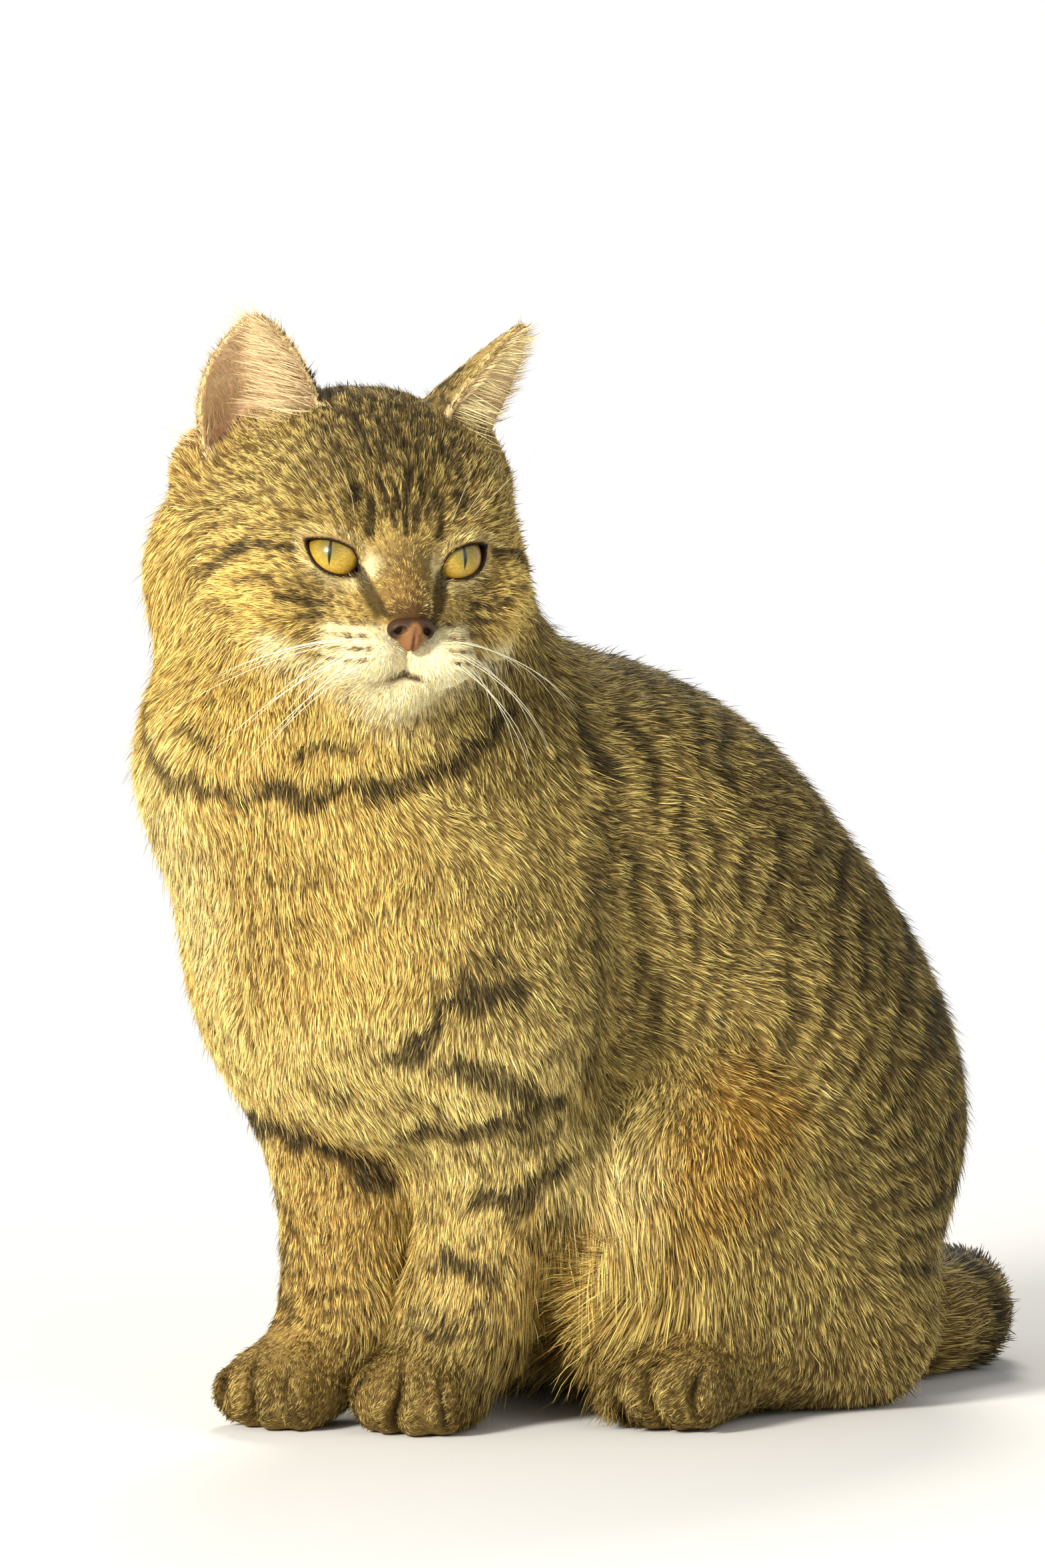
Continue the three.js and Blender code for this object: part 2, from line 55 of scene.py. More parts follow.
HEAD_CENTRE = (4, 9, 291)
HEAD_TURN, HEAD_NOD, HEAD_ROLL = 66, 3, 2.5
EYE_RADIUS, EYE_OUT, EYE_FORWARD, EYE_DROP, EYE_SPLAY = 10.4, 18.8, 37.5, 2.6, 24
EYES_MIDDLE = (-0.1, -37.4, -2.1)      # middle of the two eyes' boxes, in the head's frame
COAT_TUFTS = 460_000


# ---- Frames ----

def turned(x, y, z):
    """Turned about X, then Y, then Z, in degrees."""
    return (Matrix.Rotation(math.radians(z), 3, "Z") @ Matrix.Rotation(math.radians(y), 3, "Y")
            @ Matrix.Rotation(math.radians(x), 3, "X"))


HEAD_AXES = np.array(turned(HEAD_NOD, HEAD_ROLL, HEAD_TURN))
eye_corners = np.array([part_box(node)[end] for node in ("eye_left", "eye_right") for end in (0, 1)])
SHIFT = eye_corners.mean(0) * 1000 - (HEAD_AXES @ np.array(EYES_MIDDLE) + HEAD_CENTRE)


def into_head(p):
    return (p - np.array(HEAD_CENTRE, F4)) @ HEAD_AXES.astype(F4)


def out_of_head(h):
    return np.asarray(h) @ HEAD_AXES.T + HEAD_CENTRE


def metres(p):
    return (np.asarray(p) + SHIFT) / 1000


# ---- Fields: about the distance from each point to a surface, less than zero inside it ----

def dot(a, b):
    return np.einsum("ij,ij->i", a, b)


def size_of(v):
    return np.sqrt(dot(v, v))


def unit(v):
    return v / np.maximum(size_of(v), 1e-6)[:, None]


def spun(x, y, degrees):
    """Two coordinates seen in axes turned by an angle."""
    co, si = math.cos(math.radians(degrees)), math.sin(math.radians(degrees))
    return x * co + y * si, y * co - x * si


def ellipsoid(centre, radii, turn=0):
    centre, radii = np.array(centre, F4), np.array(radii, F4)
    axes = np.array(turned(0, 0, turn), F4)

    def field(p):
        q = (p - centre) @ axes / radii
        near = size_of(q)
        return near * (near - 1) / np.maximum(size_of(q / radii), 1e-4)
    return field


def limb(start, end, radius, end_radius):
    start, way = np.array(start, F4), np.subtract(end, start).astype(F4)

    def field(p):
        q = p - start
        t = np.clip(q @ way / (way @ way), 0, 1)
        return size_of(q - t[:, None] * way) - radius - t * (end_radius - radius)
    return field


def smooth_min(d, e, radius):
    h = np.maximum(radius - np.abs(d - e), 0) / radius
    return np.minimum(d, e) - h * h * (radius / 4)


def blend(radius, *fields):
    def field(p):
        d = fields[0](p)
        for other in fields[1:]:
            d = smooth_min(d, other(p), radius)
        return d
    return field


def step(x, low, high):
    """From 0 below the low value to 1 above the high one."""
    t = np.clip((x - low) / (high - low), 0, 1)
    return t * t * (3 - 2 * t)


def waves(p, size, seed):
    """A smooth random field of about unit spread, whose swells are about size across."""
    random = np.random.default_rng(seed)
    way = unit(random.normal(size=(10, 3)))
    way *= (2 * math.pi / size * random.uniform(0.6, 1.4, 10))[:, None]
    phase = random.uniform(0, 2 * math.pi, 10)
    return (np.sin(p @ way.T.astype(F4) + phase.astype(F4)).sum(1) / math.sqrt(5)).astype(F4)


def inset(field, depth):
    return lambda p: field(p) + depth


def in_head(field):
    return lambda p: field(into_head(p))


def both(make):
    return [make(side) for side in SIDES]


# ---- Masses of the coat's outline ----

skull = blend(
    14,
    ellipsoid((0, 2, 8), (50, 52, 43)),
    ellipsoid((0, -20, 17), (36, 29, 25)),
    *both(lambda s: ellipsoid((s * 28, -10, -16), (26, 33, 27))),
    *both(lambda s: ellipsoid((s * 24, -30, -21), (17, 15, 14))),
    *both(lambda s: ellipsoid((s * 22, -30, 13), (16, 14, 10))),
    ellipsoid((0, -28, -33), (27, 26, 15)))
muzzle = blend(
    6,
    limb((0, -38, 4), (0, -58.5, -17), 13, 9.5),
    *both(lambda s: ellipsoid((s * 11.5, -53, -33), (14, 15, 11.5))),
    *both(lambda s: ellipsoid((s * 12, -43, -18), (11, 13, 13))),
    ellipsoid((0, -50, -43), (12, 12, 9.5)))
ear_bases = blend(
    6,
    ellipsoid((32, 15, 30), (17, 13, 15)),
    ellipsoid((43, 16, 18), (12, 16, 15)),
    ellipsoid((-29, 16, 32), (18, 13, 15)),
    ellipsoid((-48, 20, 18), (14, 18, 17)))
neck_mass = blend(
    20,
    limb((0, 46, 196), (-8, 22, 262), 60, 54),
    ellipsoid((-11, 3, 218), (62, 64, 64)),
    ellipsoid((-31, 9, 278), (52, 53, 47)))
trunk_mass = blend(
    26,
    ellipsoid((0, 18, 160), (67, 60, 72), 15),
    ellipsoid((0, 86, 172), (64, 90, 84)),
    ellipsoid((0, 130, 138), (72, 90, 97)),
    ellipsoid((0, 171, 92), (78, 84, 95)),
    ellipsoid((0, 110, 70), (60, 62, 54)),
    *both(lambda s: ellipsoid((s * 46, 108, 58), (26, 42, 52))))

FORE = {
    1: dict(shoulder=(50, 30, 150), elbow=(30, 48, 98), wrist=(19, 38, 34), paw=(18.5, 22, 12),
            turn=24, size=19),
    -1: dict(shoulder=(-47, 20, 152), elbow=(-27, 28, 98), wrist=(-20, 20, 34), paw=(-19.5, -2, 12),
             turn=10, size=19),
}
HIND = {
    1: dict(hip=(40, 172, 96), knee=(72, 98, 92), hock=(64, 172, 26), paw=(66, 93, 14),
            turn=22, size=19.5),
    -1: dict(hip=(-40, 172, 96), knee=(-70, 102, 90), hock=(-64, 172, 26), paw=(-64, 96, 14),
             turn=-14, size=19.5),
}
PAWS = (FORE[1], FORE[-1], HIND[1], HIND[-1])
TOE_REACH = 8


def upper_arm(s):
    return blend(16, ellipsoid(FORE[s]["shoulder"], (24, 31, 56), 10),
                 limb(FORE[s]["shoulder"], FORE[s]["elbow"], 29, 28))


def fore_arm(s):
    return limb(FORE[s]["elbow"], FORE[s]["wrist"], 28, 21.5)


def paw_mass(leg):
    turn, size = math.radians(leg["turn"]), leg["size"]
    co, si = math.cos(turn), math.sin(turn)
    px, py, pz = leg["paw"]

    def place(across, back, up):
        return px + co * across - si * back, py + si * across + co * back, pz + up

    parts = []
    for k in (-1.5, -0.5, 0.5, 1.5):
        middle = 1 - abs(k) / 2.2
        parts.append(ellipsoid(place(size * 0.47 * k, -TOE_REACH - 5 * middle, -2 + 2 * middle),
                               (size * 0.31, size * 0.62, size * 0.6), leg["turn"] + 8 * k))
    return blend(8, ellipsoid(place(0, 0, 2), (size, size * 1.15, size * 0.78), leg["turn"]),
                 blend(1.6, *parts))


def fore_paw(s):
    return blend(10, paw_mass(FORE[s]), limb(FORE[s]["wrist"], FORE[s]["paw"], 21.5, 15))


def hind_paw(s):
    return blend(12, paw_mass(HIND[s]), limb(HIND[s]["paw"], HIND[s]["hock"], 15, 20))


def thigh(s):
    return blend(20, ellipsoid((s * 56, 142, 78), (36, 64, 74)), ellipsoid((s * 60, 166, 34), (28, 34, 36)),
                 limb(HIND[s]["hip"], HIND[s]["knee"], 46, 27),
                 limb(HIND[s]["knee"], HIND[s]["hock"], 24, 24))


# The tail curls round this place, by this much along X and Y.
TAIL_X, TAIL_Y, CURL_X, CURL_Y = -60, 238, 82, 52


def tail_route(t):
    angle = np.radians(-28 + 235 * t)
    return np.stack([TAIL_X + CURL_X * np.cos(angle), TAIL_Y + CURL_Y * np.sin(angle), 19 - 3 * t], -1)


def tail_radius(t):
    return 23 - 4 * t - 8 * max(0, t - 0.8) / 0.2


def tail_part(count):
    """The first few of the tail's ten lengths."""
    ends = [(i / 10, (i + 1) / 10) for i in range(count)]
    return blend(6, *[limb(tail_route(t), tail_route(u), tail_radius(t), tail_radius(u)) for t, u in ends])


tail_mass, tail_root = tail_part(10), tail_part(3)

# ---- The face: lids round each ball, the mouth's line and the cleft under the nose ----

LID_TILT = 28
LID_HALF, LID_ABOVE, LID_BELOW, LID_SKEW = 9.7, 5.5, 4.3, 3.5
CORNER_ALONG, CORNER_DOWN, CORNER_RADIUS = 1.1, 3, 8.9


def eye_frame(h, s):
    """Places seen along an eye's line of sight: outward, up and forward of the ball's middle."""
    x, y, up = (h - np.array((s * EYE_OUT, -EYE_FORWARD, -EYE_DROP), F4)).T
    out, back = spun(s * x, y, EYE_SPLAY)
    return out, up, -back


def lid_opening(out, up):
    """The opening between the lids: a flat upper and a round lower disc, with a third at the inner corner."""
    a, b = spun(out, up, LID_TILT)
    above = ((LID_HALF + LID_SKEW) ** 2 + LID_ABOVE ** 2) / 2 / LID_ABOVE
    below = (LID_HALF ** 2 + LID_BELOW ** 2) / 2 / LID_BELOW
    lids = np.maximum(np.hypot(a + LID_SKEW, b + (above - LID_ABOVE)) - above,
                      np.hypot(a, b - (below - LID_BELOW)) - below)
    corner = np.hypot(np.minimum(a + CORNER_ALONG, 0), b + CORNER_DOWN) - CORNER_RADIUS
    return np.maximum(lids, corner)


def mouth_height(across):
    """The height of the mouth's line, which sinks a little under each whisker pad."""
    return -38.2 - 2.6 * np.sin(np.clip(np.abs(across) / 13, 0, 1) * math.pi / 2)


def lips(h, end):
    """How surely a place is on the dark of the lips, which fades out by its end across the mouth."""
    line = np.exp(-((h[:, 2] - mouth_height(h[:, 0])) / 0.9) ** 2)
    return line * (1 - step(np.abs(h[:, 0]), 3, end)) * (h[:, 1] < -46)


def face_field(h):
    d = smooth_min(inset(skull, 3.0)(h), inset(muzzle, 1.8)(h), 9)
    for s in SIDES:
        out, up, ahead = eye_frame(h, s)
        socket = ellipsoid((s * (EYE_OUT + 4), -EYE_FORWARD - 14, -EYE_DROP), (11, 8, 7), s * EYE_SPLAY)(h)
        d = -smooth_min(-d, socket, 5)
        lids = np.sqrt(out * out + up * up + ahead * ahead) - (EYE_RADIUS + 1.5)
        d = smooth_min(d, np.maximum(lids, 2 - ahead), 3)
        opening = np.maximum(lid_opening(out, up), 4.2 - ahead)
        d = -smooth_min(-d, opening, 1.2)
    front = np.clip((-h[:, 1] - 42) / 6, 0, 1)
    mouth = np.exp(-((h[:, 2] - mouth_height(h[:, 0])) / 1.0) ** 2) * (1 - step(np.abs(h[:, 0]), 4, 14))
    cleft = np.exp(-(h[:, 0] / 0.9) ** 2) * (h[:, 2] > -38.5) * (h[:, 2] < -26)
    return d + front * (1.1 * mouth + 0.7 * cleft).astype(F4)


EARS = {
    1: dict(base=(24, 3, 25), tip=(44.5, -8, 73.5), turn=54, flare=0, trim=1.0),
    -1: dict(base=(-33, 2, 25), tip=(-42.5, -12, 73), turn=-24, flare=2.6, trim=1.2),
}
EAR_WIDTH, EAR_ROOT = 24, 9


def ear_frame(s):
    """An ear's foot, height and axes: to its right, out of its back, and up."""
    ear = EARS[s]
    base, tip = np.array(ear["base"], float), np.array(ear["tip"], float)
    up = (tip - base) / np.linalg.norm(tip - base)
    back = np.array([-math.sin(math.radians(ear["turn"])), math.cos(math.radians(ear["turn"])), 0])
    right = np.cross(back, up)
    right /= np.linalg.norm(right)
    return base, np.linalg.norm(tip - base), np.stack([right, np.cross(up, right), up], 1)


def ear_bow(rise):
    """An ear's half angle and radius of curve at a part of its height."""
    bow = np.radians(82 - 38 * rise)
    return bow, (EAR_WIDTH * np.maximum(1 - rise ** 2.3, 0) ** 0.74 + 1.4) / np.sin(bow)


def ear_sheet(h, s):
    """Across, up, and out of the back of an ear's cupped sheet, with the distance inside its rim."""
    base, height, axes = ear_frame(s)
    q = (h - base.astype(F4)) @ axes.astype(F4)
    rise = np.clip(q[:, 2] / height, 0, 1)
    bow, flat = ear_bow(rise)
    q[:, 0] -= s * EARS[s]["flare"] * np.sin(math.pi * rise)
    q[:, 0] *= np.where(s * q[:, 0] > 0, F4(EARS[s]["trim"]), F4(1))
    y = q[:, 1] + flat * np.cos(bow) + 4
    r = np.hypot(q[:, 0], y)
    angle = np.arctan2(np.abs(q[:, 0]), y)
    rim = np.maximum((angle - bow) * r, np.maximum(q[:, 2] - height, -EAR_ROOT - q[:, 2]))
    return q[:, 0], q[:, 2], r - flat + 1.8 * (1 - 0.4 * rise), rim


def ear_shell(s):
    def field(h):
        _, _, out, rim = ear_sheet(h, s)
        return np.maximum(np.abs(out) - 1.1, rim + 1).astype(F4)
    return field


def head_field(h):
    d = smooth_min(face_field(h), inset(ear_bases, 3.0)(h), 10)
    for s in SIDES:
        d = smooth_min(d, ear_shell(s)(h), 2.5)
    return d


def toes(p):
    """How deep each place lies in the furrows between the toes, and how far along the swell of a toe."""
    furrow, swell = np.zeros(len(p), F4), np.zeros(len(p), F4)
    bend = 0.10 * waves(p, 30, 91)
    for leg in PAWS:
        x, y, z = (p - np.array(leg["paw"], F4)).T
        across, back = spun(x, y, leg["turn"])
        front = step(-back, 8, 17) * (1 - step(-back, 30, 36)) * (1 - step(z, 6, 17))
        front = front * (np.abs(across) < 25)
        apart = across / (leg["size"] * 0.76) + bend
        off = np.abs(apart - np.clip(np.round(apart), -1, 1))
        furrow = np.maximum(furrow, np.exp(-(off / 0.075) ** 2) * front)
        swell = np.maximum(swell, (1 - np.exp(-(off / 0.30) ** 2)) * front)
    return furrow.astype(F4), swell.astype(F4)


DEPTH = dict(neck=4.2, trunk=4.2, arm=3.9, thigh=4.3, fore=2.8, paw=1.4, tail=4.8)
body_mass = blend(
    24, inset(trunk_mass, DEPTH["trunk"]), inset(neck_mass, DEPTH["neck"]),
    *both(lambda s: inset(upper_arm(s), DEPTH["arm"])), *both(lambda s: inset(thigh(s), DEPTH["thigh"])))


def skin_field(p):
    body = body_mass(p)
    whole = smooth_min(body, head_field(into_head(p)), 12)
    whole = smooth_min(whole, inset(tail_root, DEPTH["tail"])(p), 12)
    legs = np.minimum(*both(lambda s: smooth_min(
        smooth_min(body, inset(fore_arm(s), DEPTH["fore"])(p), 14), inset(fore_paw(s), DEPTH["paw"])(p), 8)))
    for s in SIDES:
        whole = smooth_min(whole, inset(hind_paw(s), DEPTH["paw"])(p), 10)
    furrow, swell = toes(p)
    whole = np.minimum(whole, legs) + 2.6 * furrow - 1.4 * swell
    return np.maximum(np.minimum(whole, inset(tail_mass, DEPTH["tail"])(p)), 0.6 - p[:, 2])


# ---- Surface nets ----

CORNERS = np.array([(n & 1, n >> 1 & 1, n >> 2) for n in range(8)])
CELL_EDGES = [(m, m | bit) for m in range(8) for bit in (1, 2, 4) if not m & bit]
COARSE = 4     # fine cells along the side of a coarse one


def corner_views(grid):
    """Eight views of a grid, one for each corner of its cells."""
    cells = np.array(grid.shape) - 1
    return [grid[tuple(slice(a, a + n) for a, n in zip(corner, cells))] for corner in CORNERS]


def enlarged(grid):
    return grid.repeat(COARSE, 0).repeat(COARSE, 1).repeat(COARSE, 2)


def net(field, low, high, cell, keep):
    """Points and quads of the field's surface in a box, where keep says so. The fine grid is filled only near
    the surface, found on the coarse grid."""
    low = np.array(low, float)
    blocks = np.ceil((np.array(high) - low) / cell / COARSE).astype(int)
    size = blocks * COARSE + 1
    coarse_at = np.stack(np.meshgrid(*[low[a] + COARSE * cell * np.arange(blocks[a] + 1) for a in range(3)],
                                     indexing="ij"), -1).astype(F4)
    coarse = field(coarse_at.reshape(-1, 3)).reshape(blocks + 1)
    near = enlarged(np.logical_or.reduce(corner_views(np.abs(coarse) < 2 * COARSE * cell)))
    wanted = np.zeros(size, bool)
    for view in corner_views(wanted):
        view |= near
    values = enlarged(coarse)[:size[0], :size[1], :size[2]].astype(F4)
    places = np.argwhere(wanted)
    values[wanted] = np.concatenate([field((low + cell * part).astype(F4))
                                     for part in np.array_split(places, 1 + len(places) // 400_000)])
    inside = values < 0
    views = corner_views(inside)
    mixed = np.logical_or.reduce(views) & ~np.logical_and.reduce(views)
    cells = np.argwhere(mixed)
    d = np.stack([values[tuple((cells + corner).T)] for corner in CORNERS], 1)
    total, crossings = np.zeros((len(cells), 3)), np.zeros(len(cells))
    for m, n in CELL_EDGES:
        cross = (d[:, m] < 0) != (d[:, n] < 0)
        t = np.where(cross, d[:, m] / np.where(cross, d[:, m] - d[:, n], 1), 0)
        total += np.where(cross[:, None], CORNERS[m] + t[:, None] * (CORNERS[n] - CORNERS[m]), 0)
        crossings += cross
    points = low + cell * (cells + total / crossings[:, None])
    number = np.full(size - 1, -1)
    number[mixed] = np.arange(len(cells))
    quads = []
    for axis in range(3):
        u, v = np.eye(3, dtype=int)[[(axis + 1) % 3, (axis + 2) % 3]]
        lower = [slice(1, -1)] * 3
        upper = list(lower)
        lower[axis], upper[axis] = slice(0, -1), slice(1, None)
        edges = np.argwhere(inside[tuple(lower)] != inside[tuple(upper)]) + u + v
        ring = np.stack([number[tuple((edges - du * u - dv * v).T)]
                         for du, dv in ((1, 1), (0, 1), (0, 0), (1, 0))], 1)
        hollow = ~inside[tuple(edges.T)]
        ring[hollow] = ring[hollow][:, ::-1]
        quads.append(ring)
    quads = np.concatenate(quads)
    quads = quads[(quads >= 0).all(1)]
    quads = quads[keep(points[quads].mean(1).astype(F4))]
    used, quads = np.unique(quads, return_inverse=True)
    return settled(field, points[used], cell), quads.reshape(-1, 4)


def gradient(field, p, off=0.25):
    """The field's slope from four places round each point."""
    way = np.array([(1, 1, 1), (1, -1, -1), (-1, 1, -1), (-1, -1, 1)], F4) * off
    return sum(field(p + w)[:, None] * w for w in way) / (4 * off * off)


def settled(field, points, cell):
    """The points moved onto the field's surface, by less than a cell."""
    p = points.astype(F4)
    slope = gradient(field, p)
    steep = np.maximum(dot(slope, slope), 0.2)
    for _ in range(2):
        p = p - np.clip(slope * (field(p) / steep)[:, None], -0.4 * cell, 0.4 * cell)
    return p


def collar(p):
    """How far a place lies inside the part of the body that has the head's finer net."""
    return np.minimum(into_head(p)[:, 2] + 52, 95 - p[:, 1])


def face_window(p):
    """How far a place lies inside the ball round the face, where the net is finest."""
    return 43 - size_of(into_head(p) - np.array((0, -52, -20), F4))


def paw_window(p):
    """How far a place lies inside the balls round the fronts of the paws."""
    inside = []
    for leg in PAWS:
        turn = math.radians(leg["turn"])
        middle = np.add(leg["paw"], (6 * math.sin(turn), -6 * math.cos(turn), -2))
        inside.append(27 - size_of(p - middle.astype(F4)))
    return np.maximum.reduce(inside)


# The nets of the skin: the corners of the box, the cell, and where the net is kept. They part at the collar
# and at the balls round the face and the fronts of the paws, where they overlap a little.
NETS = (
    ((-170, -80, -3.2), (112, 310, 262), 3.2, lambda p: (collar(p) < 1) & (paw_window(p) < 1)),
    ((-100, -70, -4), (104, 130, 48), 1.2, lambda p: paw_window(p) > -0.8),
    ((-92, -72, 228), (84, 100, 368), 1.25, lambda p: (collar(p) > -1) & (face_window(p) < 0.7)),
    ((0, -50, 225), (92, 42, 322), 0.72, lambda p: face_window(p) > -0.7),
)


def built_skin():
    """The points and quads of all the nets together."""
    points, quads, start = [], [], 0
    for low, high, cell, keep in NETS:
        part_points, part_quads = net(skin_field, low, high, cell, keep)
        points.append(part_points)
        quads.append(part_quads + start)
        start += len(part_points)
    return np.concatenate(points), np.concatenate(quads)


def placed(name, data):
    """A new object in the scene."""
    thing = bpy.data.objects.new(name, data)
    bpy.context.scene.collection.objects.link(thing)
    return thing


def new_mesh(name, points, corners, counts):
    """A mesh in metres from its points, the corner numbers of all its faces and each face's corner count."""
    mesh = bpy.data.meshes.new(name)
    mesh.vertices.add(len(points))
    mesh.vertices.foreach_set("co", metres(points).astype(F4).ravel())
    mesh.loops.add(len(corners))
    mesh.loops.foreach_set("vertex_index", np.ascontiguousarray(corners, np.int32))
    mesh.polygons.add(len(counts))
    mesh.polygons.foreach_set("loop_start", (np.cumsum(counts) - counts).astype(np.int32))
    mesh.polygons.foreach_set("use_smooth", np.ones(len(counts), bool))
    mesh.update(calc_edges=True)
    return placed(name, mesh)


def paint(piece, colours, name="tint"):
    layer = piece.data.color_attributes.new(name, "FLOAT_COLOR", "POINT")
    rgba = np.ones((len(colours), 4), F4)
    rgba[:, :3] = colours
    layer.data.foreach_set("color", rgba.ravel())


points, quads = built_skin()
normals = unit(gradient(skin_field, points.astype(F4)))

# ---- The nose leather, with its nostrils ----


def nose_field(h):
    d = blend(3, ellipsoid((0, -65.2, -22.6), (6.4, 4.3, 3.3)), ellipsoid((0, -64.8, -26.2), (3.5, 4.3, 4.2)),
              *both(lambda s: ellipsoid((s * 5.0, -63.6, -23.6), (2.5, 3.8, 2.5))))(h)
    for s in SIDES:
        nostril = blend(1.2, limb((s * 3.9, -69.2, -23.0), (s * 4.7, -66, -23.6), 1.15, 0.9),
                        limb((s * 4.2, -68.6, -23.2), (s * 8.2, -65.4, -25.6), 0.9, 0.55))(h)
        d = -smooth_min(-d, nostril, 0.8)
    cleft = np.exp(-(h[:, 0] / 0.45) ** 2) * np.clip((-23 - h[:, 2]) / 3, 0, 1)
    return d + 0.8 * cleft.astype(F4)


# ---- Markings ----

def stroke(p, normal, route, reach, soft=0.4):
    """How strongly a stroke along a few places covers each point, whatever its height off the skin."""
    near = np.full(len(p), 1e9, F4)
    for start, end in zip(route, route[1:]):
        start, way = np.array(start, F4), np.subtract(end, start).astype(F4)
        q = p - start
        q = q - np.clip(q @ way / (way @ way), 0, 1)[:, None] * way
        off = dot(q, normal)
        near = np.minimum(near, dot(q, q) - 0.9 * off * off)
    return 1 - step(np.sqrt(np.maximum(near, 0)), reach * (1 - soft), reach * (1 + soft))


def mirrored(route, s):
    return [(s * x, y, z) for x, y, z in route]


# Strokes of the face, in the head's frame, on its right side: places, half width and strength.
FACE_STROKES = (
    ([(-33, -37, -0.5), (-40, -29.5, -1.6), (-44, -23, -2.6)], 1.6, 0.85),
    ([(-44, -23, -2.6), (-48, -16, -6.2), (-51.5, -5, -13.5), (-53, 4, -16.5)], 2.9, 1.0),
    ([(-53, 4, -16.5), (-57, 16, -18), (-58, 30, -16)], 2.4, 0.6),
    ([(-13.5, -47, -8), (-11.5, -52, -13), (-9.5, -57, -18)], 2.8, 0.95),
    ([(-9.5, -57, -18), (-8, -62, -20)], 1.6, 0.85),
    ([(-38, -37, -16), (-30, -42, -17.5), (-25, -45, -17)], 1.5, 0.9),
    ([(-37, -36, -21.5), (-30, -41, -22), (-24, -44.5, -21)], 1.3, 0.9),
    ([(-46, -24, -14), (-38, -34, -12.5)], 2.0, 0.65),
    ([(-50, -8, -24), (-46, -22, -22)], 2.0, 0.5),
    ([(-54, 8, -32), (-46, -20, -38), (-34, -34, -44)], 2.4, 0.45),
    ([(-22, -45, -11), (-31, -42, -12)], 5.5, 0.45),
    ([(-12, -48, 16), (-11.5, -48, 6)], 1.5, 1.0),
    ([(-8, -49, 20), (-7.2, -49.5, 12)], 1.1, 0.7),
    ([(-4.2, -49, 17), (-4.2, -50.5, 8)], 1.2, 0.9),
    ([(-19, -44, 19), (-16.5, -46, 11)], 1.2, 0.6),
    ([(-26, -38, 22), (-23, -41, 15)], 1.3, 0.4),
)
# Strokes of the body's front and legs, in the row's axes.
BODY_STROKES = (
    ([(-46, -40, 243), (-34, -52, 232), (-22, -56, 220), (-7.5, -57, 211), (5.5, -54.5, 209.5),
      (19, -48, 212)], 2.5, 0.85),
    ([(23, -45, 210), (34, -34.5, 209), (42, -17, 211), (47, 8, 217), (48, 22, 224),
      (47, 32, 234)], 3.6, 1.0),
    ([(-10, -57, 231), (3.5, -55, 224.5)], 2.6, 0.75),
    ([(29, -40, 222), (37, -29, 225.5)], 2.6, 0.8),
    ([(-42, -42, 194), (-22, -52, 190), (-4, -52, 188)], 2.2, 0.3),
    ([(2, -52, 180), (24, -40, 181), (36, -28, 184)], 2.2, 0.35),
    ([(22, -38, 166), (40, -20, 168), (52, -4, 176)], 2.4, 0.35),
    ([(-45, 4, 98), (-24, -2, 98), (-8, 1, 97), (-3, 12, 90), (-2, 21, 82)], 6.2, 1.0),
    ([(-44, 12, 72), (-36, 0, 70), (-28, -3, 70)], 3.0, 0.6),
    ([(-36, 6, 56), (-29, -2, 54)], 3.2, 0.6),
    ([(-30, -1, 40), (-22, -3, 39)], 3.8, 0.75),
    ([(44, -3, 126), (55, -2, 140), (66, 7, 147), (72, 18, 145)], 4.6, 1.0),
    ([(58, 8, 152), (66, 12, 158)], 4.1, 0.8),
    ([(60, 2, 122), (66, 18, 117), (64, 34, 108)], 4.3, 0.9),
    ([(21, 14, 103), (38, 14, 102), (50, 20, 105), (61, 38, 109)], 4.6, 1.0),
    ([(52, 30, 100), (58, 42, 101)], 3.2, 0.7),
    ([(41, 27, 76), (48, 36, 79), (57, 52, 87)], 4.4, 1.0),
    ([(44, 30, 92), (54, 44, 96)], 2.6, 0.7),
    ([(16, 17, 86), (30, 18, 86)], 2.7, 0.5),
    ([(14, 20, 70), (26, 22, 68)], 2.4, 0.5),
    ([(28, 22, 55), (38, 34, 53)], 4.1, 1.0),
    ([(46, 48, 66), (52, 58, 68)], 3.2, 0.6),
    ([(13, 20, 50), (20, 18, 48)], 2.4, 0.6),
    ([(16, 14, 40), (30, 20, 38), (40, 34, 40)], 2.2, 0.7),
    ([(18, 12, 34), (30, 18, 32), (38, 28, 32)], 2.0, 0.7),
    ([(55, 69, 200), (68, 48, 168), (63, 52, 118)], 5.0, 0.6),
)


def crown_lines(h):
    """Dark lines from the brow over the crown to the nape, and a dark patch on the crown that is partly
    painted shade.
    """
    bend = h[:, 0] + 1.4 * waves(h, 18, 11)
    lines = np.zeros(len(h), F4)
    for x, spread in ((-17, 0.2), (-10.5, 0.12), (-4.6, 0.05), (0.4, 0), (5.2, 0.05), (11, 0.12), (18, 0.2)):
        off = np.abs(bend - x * (1 + spread * (h[:, 2] - 10) / 30))
        lines = np.maximum(lines, 1 - step(off, 0.8, 2.2))
    dark_crown_and_shade = (0.6 + 0.25 * waves(h, 6, 13)) * step(h[:, 2], 17, 36) * (1 - step(np.abs(h[:, 0]), 18, 34))
    return np.maximum(lines * step(h[:, 2], 8, 16) * step(waves(h, 8, 12), -0.7, 0.4), dark_crown_and_shade)


